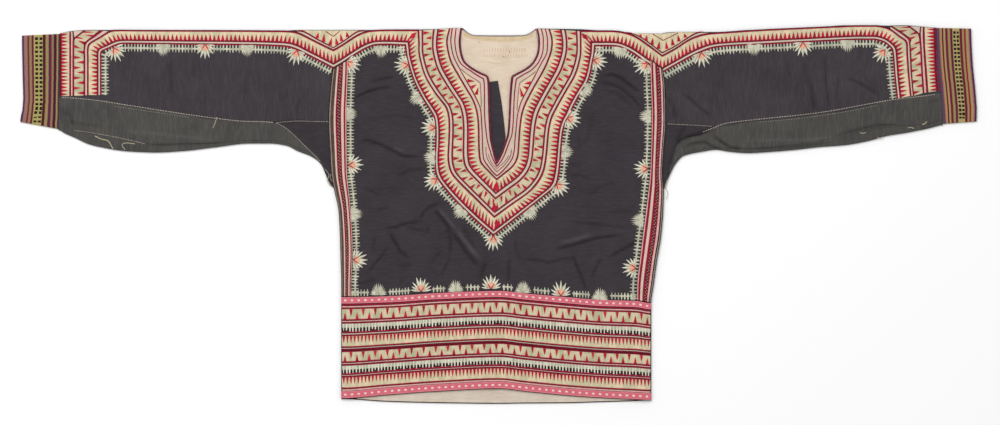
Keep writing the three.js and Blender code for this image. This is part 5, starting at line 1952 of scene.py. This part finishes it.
# Sewing threads: the thread, its width, the share of each step that shows, and the line, in pixels.
SEAMS = (
    (Thread.SEAM, 1.1, 0.72, (62, 97.4, 80, 98.5, 100, 100.8, 130, 105.5, 160, 110.2, 190, 114.8, 215,
     118.2, 240, 121, 262, 121.6, 276, 122.8)),
    (Thread.SEAM, 0.6, 0.5, (115, 106.5, 160, 113, 190, 117.5)),
    (Thread.SEAM, 0.8, 0.72, (276.7, 122.8, 285, 121.8, 300, 121, 331, 121.9)),
    (Thread.SEAM, 0.9, 0.72, (276, 122.8, 285, 127.5, 295, 136, 305, 146, 315, 156, 321, 162)),
    (Thread.SEAM, 0.8, 0.72, (74, 130.4, 90, 132.6, 120, 138, 148, 144.5)),
    (Thread.SEAM, 0.8, 0.72, (668, 124, 690, 125, 714, 126.5)),
    (Thread.SEAM, 1.1, 0.72, (703, 132, 712, 128.5, 725, 123.5, 740, 121.3, 770, 118, 800, 115, 830, 111,
     860, 105.5, 890, 100, 915, 97, 938, 94)),
    (Thread.SEAM, 0.6, 0.5, (760, 122, 800, 118.4, 840, 112.6, 880, 105)),
    (Thread.LOOSE, 0.9, 1.0, (95, 136, 101, 139, 108, 141, 112, 147, 113, 148.6)),
    (Thread.LOOSE, 0.8, 1.0, (125, 149.6, 122, 145, 126, 143, 135, 144)),
    (Thread.LOOSE, 0.7, 1.0, (217, 117, 215.4, 122, 213, 128)),
    (Thread.LOOSE, 0.9, 1.0, (922, 124.6, 925, 123.6, 927, 121.6)),
    (Thread.LOOSE, 0.7, 1.0, (908, 128, 911, 127.4, 914, 128.6)),
    (Thread.LOOSE, 0.7, 1.0, (860, 132.5, 863.6, 133.4, 866, 132.2)),
    (Thread.LOOSE, 0.7, 1.0, (877.6, 137.4, 880, 138.2, 882.6, 137)),
    (Thread.LOOSE, 0.6, 1.0, (325, 169, 329, 175, 327, 181, 331, 186)),
    (Thread.LOOSE, 0.6, 1.0, (334, 171, 330, 177, 333, 182)),
    (Thread.LOOSE, 0.6, 1.0, (667.4, 180, 665.4, 187, 667.6, 193, 666, 199)),
)


@dataclass
class Seams:
    """Sewing threads that show along the seams, and loose ends."""

    shop: Workshop
    step: float = 2.6  # pixels from one stitch to the next

    def build(self) -> None:
        """Sews the seams."""
        stitches = Stitchery(self.shop, "seam_threads")
        for thread, width, share, pixels in SEAMS:
            line = spline(on_table(pixels), 6)
            if share == 1.0:
                stitches.strand(line, thread, width * PIXEL, 0.7, 1.5)
                continue
            step = self.step * PIXEL
            starts = np.arange(0.0, along(line)[-1] - step, step)
            root, tip = self.at(line, starts), self.at(line, starts + step * share)
            stitches.single(Shape.BAR, thread, root, tip, width * PIXEL, 0.3)
        stitches.finish("indigo_cotton")

    @staticmethod
    def at(line: Places, distance: np.ndarray) -> Places:
        """Returns the places at distances along a line."""
        return np.stack([np.interp(distance, along(line), line[:, k]) for k in (0, 1)], axis=1)


# For each side, the yoke's points, the borders', the lines down the sleeve's end and the fork's points.
SIDES = {
    "left": (YOKE_LEFT, (SHOULDER_LEFT, SLEEVE_LEFT), COLUMN_LEFT, FORK_LEFT),
    "right": (YOKE_RIGHT, (SHOULDER_RIGHT, SLEEVE_RIGHT), COLUMN_RIGHT, FORK_RIGHT),
}


@dataclass
class Embroidery:
    """The stitched yoke, borders, edging and rosettes."""

    shop: Workshop
    rosette_foot: float = 7.2  # from a rosette's middle back to the point its stitches fan out from

    def build(self) -> None:
        """Builds the embroidery."""
        for side in SIDES:
            self.side(side)
        for side, edge in (("left", NECK_LEFT), ("right", NECK_RIGHT)):
            self.neck(side, edge)
        self.inside_neck()
        self.waist_edging()
        self.hem()
        self.strips()
        self.rosettes()

    def side(self, side: str) -> None:
        """Sews the yoke and borders of one side.

        Args:
            side: Left or right.
        """
        yoke, borders, column, fork = SIDES[side]
        stitches = Stitchery(self.shop, f"yoke_stitching_{side}")
        rows = Rows(stitches)
        inner, middle, outer = yoke.swapaxes(0, 1)
        rows.sew(Band.from_ribs(inner, middle), YOKE_ROWS, YOKE_DEPTH)
        self.bordered(rows, Band.from_ribs(middle, outer))
        if side == "left":
            diamonds = ends_of(AXIS_DIAMONDS + SHOULDER_DIAMONDS)
            stitches.single(Shape.DIAMOND, Thread.RED, *diamonds, 5.2 * PIXEL, 1.1)
        stitches.finish()
        stitches = Stitchery(self.shop, f"border_stitching_{side}")
        rows = Rows(stitches)
        for ribs in borders:
            self.bordered(rows, Band.from_ribs(*ribs.swapaxes(0, 1)))
        for (depth, between), first, second in zip(COLUMN_ROWS, column, column[1:]):
            rows.sew(Band.from_ribs(first, second), between, depth)
        stitches.ribbon(Band.from_ribs(*COLUMN_CORNERS[side]), Thread.PALE, 0.3, 3, flatness=6)
        stitches.strand(on_table(column[2][:3]), Thread.DARK_RED, 1.3 * PIXEL, 1.0)
        for half in (fork[:4], fork[3:]):
            edge, line, border = half.swapaxes(0, 1)
            rows.sew(Band.from_ribs(line, border), FORK_STRIP[1], FORK_STRIP[0])
            stitches.ribbon(Band.from_ribs(edge, line), Thread.CREAM, 0.3, 5, spacing=1.6, flatness=8)
        stitches.single(Shape.WEDGE, Thread.RED, *ends_of(FORK_TEETH[side]), 4.0 * PIXEL, 0.9)
        top = on_table(FORK_TOPS[side])
        for pair in (top[:2], top[1:]):
            stitches.strand(pair, Thread.DARK_RED, 1.2 * PIXEL, 0.9)
        stitches.finish()

    def bordered(self, rows: Rows, border: Band) -> None:
        """Sews a border and the open ladder outside its outer line."""
        rows.sew(border, BORDER_ROWS, BORDER_DEPTH)
        rows.sew(border.beyond(EDGING.start * PIXEL, EDGING.end * PIXEL),
                 [Row(LADDER, 0.0, 1.0, EDGING.thread, EDGING.pitch)], 1.0)

    def neck(self, side: str, edge: Sequence) -> None:
        """Sews the cords between the neck hole and the yoke, and the filled corner.

        Args:
            side: Left or right.
            edge: Points of the neck hole and slit.
        """
        stitches = Stitchery(self.shop, f"neck_stitching_{side}")
        count = 90
        hole = neck_line(edge)
        apex = on_table(YOKE_LEFT[-1, 0])
        corner = hole[[NECK_CORNER * NECK_STEPS]]
        inner = resample(np.vstack([hole, mix(hole[-1:], apex, 0.15)]), count, corner)
        outer = resample(spline(on_table(SIDES[side][0][:, 0]), RIB_STEPS), count)
        stitches.ribbon(Band(inner, outer).slice(0.02, 0.97), Thread.PALE, 0.3, 4, flatness=8)
        for first, second in CORNER_FANS[side]:
            stitches.ribbon(Band.from_ribs(first, second), Thread.CREAM, 0.7, 4, flatness=8, tint=0.0)
        for width, thread, *runs in NECK_CORDS[side]:
            for run in runs:
                line = spline(on_table(run), 8)
                stitches.strand(line, thread, width * PIXEL, 0.9, 2.4)
                stitches.strand(line, Thread.MAROON, 0.55 * width * PIXEL, 1.05, 2.4)
        stitches.single(Shape.WEDGE, Thread.RED, *ends_of(CORNER_TEETH[side]), 3.9 * PIXEL, 1.3)
        stitches.finish()

    def inside_neck(self) -> None:
        """Sews the facing, stitches and marks that show on the lining inside the neck."""
        stitches = Stitchery(self.shop, "neck_lining_stitching", height=lining_height)
        stitches.ribbon(Band.from_ribs(*FACING), Thread.FACING, 0.2, 3, flatness=8, sink=0.1)
        edge = spline(np.asarray(BACK_NECK, float), 8)[2:-2]
        edge[:, 1] -= 1.0
        stitches.ribbon(Band.beside(edge, -1.1, 1.1), Thread.GREY, 0.3, sink=1.4)
        for lines in INSIDE_ROWS:
            row = Band.from_ribs(*lines)
            at = np.arange(1.5, row.length, 2.7 * PIXEL)
            stitches.stamp(row, Shape.BAR, Thread.BLUSH, 1.1 * PIXEL, 0.12, at, uneven=0.3, sink=0.1)
        for line in INSIDE_LINES:
            stitches.strand(spline(on_table(line), 6), Thread.FACING, 0.5 * PIXEL, 0.2)
        stitches.single(Shape.BAR, Thread.BROWN, *ends_of(INSIDE_MARKS), 0.7 * PIXEL, 0.25)
        stitches.finish("lining")

    def waist_edging(self) -> None:
        """Sews the open ladder along the top of the hem, between its rosettes."""
        stitches = Stitchery(self.shop, "waist_edging")
        for gap in WAIST_GAPS:
            start, end = on_table([(column, 0.0) for column in gap])[:, 0]
            x = np.linspace(start, end, 12)
            band = Band(np.column_stack([x, waist(x) + 0.6]), np.column_stack([x, waist(x) + 7.4 * PIXEL]))
            Rows(stitches).sew(band, [Row(LADDER, 0.0, 1.0, Thread.SAGE, 3.2)], 1.0)
        stitches.finish()

    def hem(self) -> None:
        """Sews the rows of the front hem band and the dashes on its tapes."""
        inset = 1.2
        x = np.linspace(float(body_left(HEM_Y)) + inset, float(body_right(HEM_Y)) - inset, 120)
        band = Band(np.column_stack([x, waist(x)]), np.column_stack([x, front_hem(x)]))
        stitches = Stitchery(self.shop, "hem_stitching")
        Rows(stitches).sew(band, HEM_ROWS, HEM_DEPTH)
        stitches.finish()
        dashes = Stitchery(self.shop, "tape_dashes", CLOTH.gap + CLOTH.tape)
        for start, end in (TAPE_TOP, TAPE_BOTTOM):
            middle = (start + end) / 2
            half = 0.95 / HEM_DEPTH
            row = band.slice(middle - half, middle + half)
            count = int(row.length / (6.7 * PIXEL))
            at = (np.arange(count) + 0.5) * row.length / count
            dashes.stamp(row, Shape.BLOCK, Thread.LINEN, 2.6 * PIXEL, 0.35, at, sink=0.1)
            for edge in (start + 0.001, end - 0.009):
                dashes.ribbon(band.slice(edge, edge + 0.008), Thread.PINK, 0.25, sink=0.1)
        dashes.finish("tape")

    def strips(self) -> None:
        """Sews the rows of the side strips and the ladders beside them."""
        for side, inset in (("left", 1.0), ("right", -1.0)):
            away, near = (side_line(edge, top - 1.5, float(waist(edge(STRIP_Y))) + 1.0, 90)
                          for edge, top in zip(STRIP_EDGES[side], STRIP_TOPS))
            away[:, 0] += inset
            stitches = Stitchery(self.shop, f"side_strip_stitching_{side}", CLOTH.gap + CLOTH.tape)
            depth, rows = STRIP_ROWS[side]
            Rows(stitches).sew(Band(near, away), rows, depth)
            stitches.finish()
            edging = Stitchery(self.shop, f"side_edging_{side}")
            ladder = Band(away[4:], near[4:]).beyond(0.3 * PIXEL, 7.6 * PIXEL)
            Rows(edging).sew(ladder, [STRIP_EDGING[side]], 1.0)
            edging.finish()

    def rosettes(self) -> None:
        """Sews the rosettes."""
        stitches = Stitchery(self.shop, "rosettes")
        for kind, column, row, opening in ROSETTES:
            turn = math.radians(opening)
            way = np.array([math.cos(turn), math.sin(turn)])
            root = on_table((column, row))[0] - self.rosette_foot * way
            sew = self.star if kind is Flower.STAR else self.fan
            sew(stitches, root, turn)
        stitches.finish()

    def star(self, stitches: Stitchery, root: Places, opening: float) -> None:
        """Sews a star: long petals, a peach heart and a red fork."""
        random = stitches.random
        # The shorter sage petals under the white ones show in the gaps between them; their greenish grey is
        # partly the thread's own and partly painted shade in those gaps.
        for count, thread, share, width in ((10, Thread.SAGE, 0.74, 1.7), (9, Thread.WHITE, 1.0, 2.25)):
            away = np.linspace(-1.4, 1.4, count) + random.uniform(-0.04, 0.04, count)
            ends = (10.4 + 4.9 * np.cos(away) ** 2) * PIXEL * share * random.uniform(0.92, 1.04, count)
            stitches.rays(Shape.PETAL, thread, root, opening + away, 2.0, ends, width * PIXEL, 1.0)
        away = np.linspace(-0.8, 0.8, 7)
        ends = (6.0 + 1.6 * np.cos(2 * away)) * PIXEL
        stitches.rays(Shape.WEDGE_OUT, Thread.PEACH, root, opening + away, 0.0, ends, 2.2 * PIXEL, 1.25)
        stitches.rays(Shape.BAR, Thread.RED, root, opening + np.array([-0.56, 0.56]), 0.4 * PIXEL,
                      6.8 * PIXEL, 1.6 * PIXEL, 1.8)

    def fan(self, stitches: Stitchery, root: Places, opening: float) -> None:
        """Sews a fan of fine rays, longest in the middle."""
        for count, thread, share, width in ((13, Thread.SAGE, 0.9, 1.6), (17, Thread.WHITE, 1.0, 0.9)):
            away = np.linspace(-1.46, 1.46, count)
            ends = (8.9 + 3.8 * np.cos(away) ** 6) * PIXEL * share
            ends *= stitches.random.uniform(0.94, 1.04, count)
            stitches.rays(Shape.PETAL, thread, root, opening + away, 0.5, ends, width * PIXEL, 0.9)


@dataclass
class CuffDashes:
    """Short dark floats in two columns along the pale stripe of a cuff."""

    shop: Workshop
    plan: SleevePlan
    columns: tuple[tuple[float, float], ...]
    pitch: float

    def build(self) -> None:
        """Sews the dashes."""
        plan = self.plan
        seam, end = Table(plan.cuff, 1), Table(plan.cuff, 2)
        y = np.linspace(plan.cuff_edges[0] - 4, plan.cuff_edges[2] + 8, 60)
        band = Band(np.column_stack([seam(y), y]), np.column_stack([end(y), y]))
        stitches = Stitchery(self.shop, f"cuff_dashes_{plan.side}")
        for start, finish in self.columns:
            strip = band.slice(start, finish)
            at = np.arange(self.pitch / 2, strip.length, self.pitch)
            stitches.stamp(strip, Shape.BLOCK, Thread.BLACK, 3.9, 0.35, at, uneven=0.2)
        stitches.finish("striped_weave")


# ---------------------------------------------------------------- studio


@dataclass
class Studio:
    """A pale table top under plain soft light, and a camera that looks straight down."""

    lens: float = 120.0
    sensor: float = 36.0
    floor_size: float = 14.0

    def build(self) -> None:
        """Builds the floor, the lights and the camera."""
        self.floor()
        self.lights()
        self.camera()

    def floor(self) -> None:
        """Makes the floor."""
        bpy.ops.object.select_all(action="DESELECT")
        bpy.ops.mesh.primitive_plane_add(size=self.floor_size, location=(0, 0, -0.3 * MM))
        floor = bpy.context.object
        bpy.ops.object.transform_apply(location=True)
        floor.name = "floor"
        board = Paint("white_painted_board")
        board.shader.inputs["Base Color"].default_value = linear("#f6f6f6")
        board.shader.inputs["Roughness"].default_value = 0.9
        floor.data.materials.append(board.material)
        floor.select_set(False)

    def lights(self) -> None:
        """Sets even light from all round and a soft light from the upper left."""
        scene = bpy.context.scene
        world = bpy.data.worlds.new("soft_room")
        world.use_nodes = True
        world.node_tree.nodes["Background"].inputs["Color"].default_value = (1, 1, 1, 1)
        world.node_tree.nodes["Background"].inputs["Strength"].default_value = 0.75
        scene.world = world
        lamp = bpy.data.lights.new("soft_light", "AREA")
        lamp.shape = "SQUARE"
        lamp.size = 1.6
        lamp.energy = 68
        light = bpy.data.objects.new("soft_light", lamp)
        light.location = (-1.0, 1.9, 3.1)
        aim = -np.asarray(light.location)
        light.rotation_euler = (math.atan2(math.hypot(aim[0], aim[1]), -aim[2]), 0,
                                math.atan2(aim[0], -aim[1]) + math.pi)
        scene.collection.objects.link(light)
        scene.view_settings.view_transform = "Standard"

    def camera(self) -> None:
        """Sets the camera straight above the picture's middle."""
        wide = PICTURE[0] * PIXEL * MM
        lens = bpy.data.cameras.new("camera")
        lens.lens = self.lens
        lens.sensor_width = self.sensor
        lens.clip_end = 50
        camera = bpy.data.objects.new("camera", lens)
        centre = on_table((PICTURE[0] / 2, PICTURE[1] / 2))[0] * MM
        camera.location = (centre[0], centre[1], wide * self.lens / self.sensor + CLOTH.front_top * MM)
        bpy.context.scene.collection.objects.link(camera)
        bpy.context.scene.camera = camera


def main() -> None:
    """Builds the top and its studio, and reports each piece."""
    logging.basicConfig(level=logging.INFO, format="%(name)s: %(message)s")
    shop = Workshop()
    Studio().build()
    Body(shop).build()
    Hem(shop).build()
    for side in ("left", "right"):
        SideStrip(shop, side).build()
    Sleeve(shop, LEFT, LEFT_STRIPES, armpit_area=0.0042).build()
    Sleeve(shop, RIGHT, RIGHT_STRIPES, armpit_area=0.0022).build()
    CuffDashes(shop, LEFT, ((0.458, 0.538), (0.574, 0.654)), 6.54).build()
    CuffDashes(shop, RIGHT, ((0.481, 0.553), (0.578, 0.65)), 6.12).build()
    Seams(shop).build()
    Embroidery(shop).build()


if __name__ == "__main__":
    main()
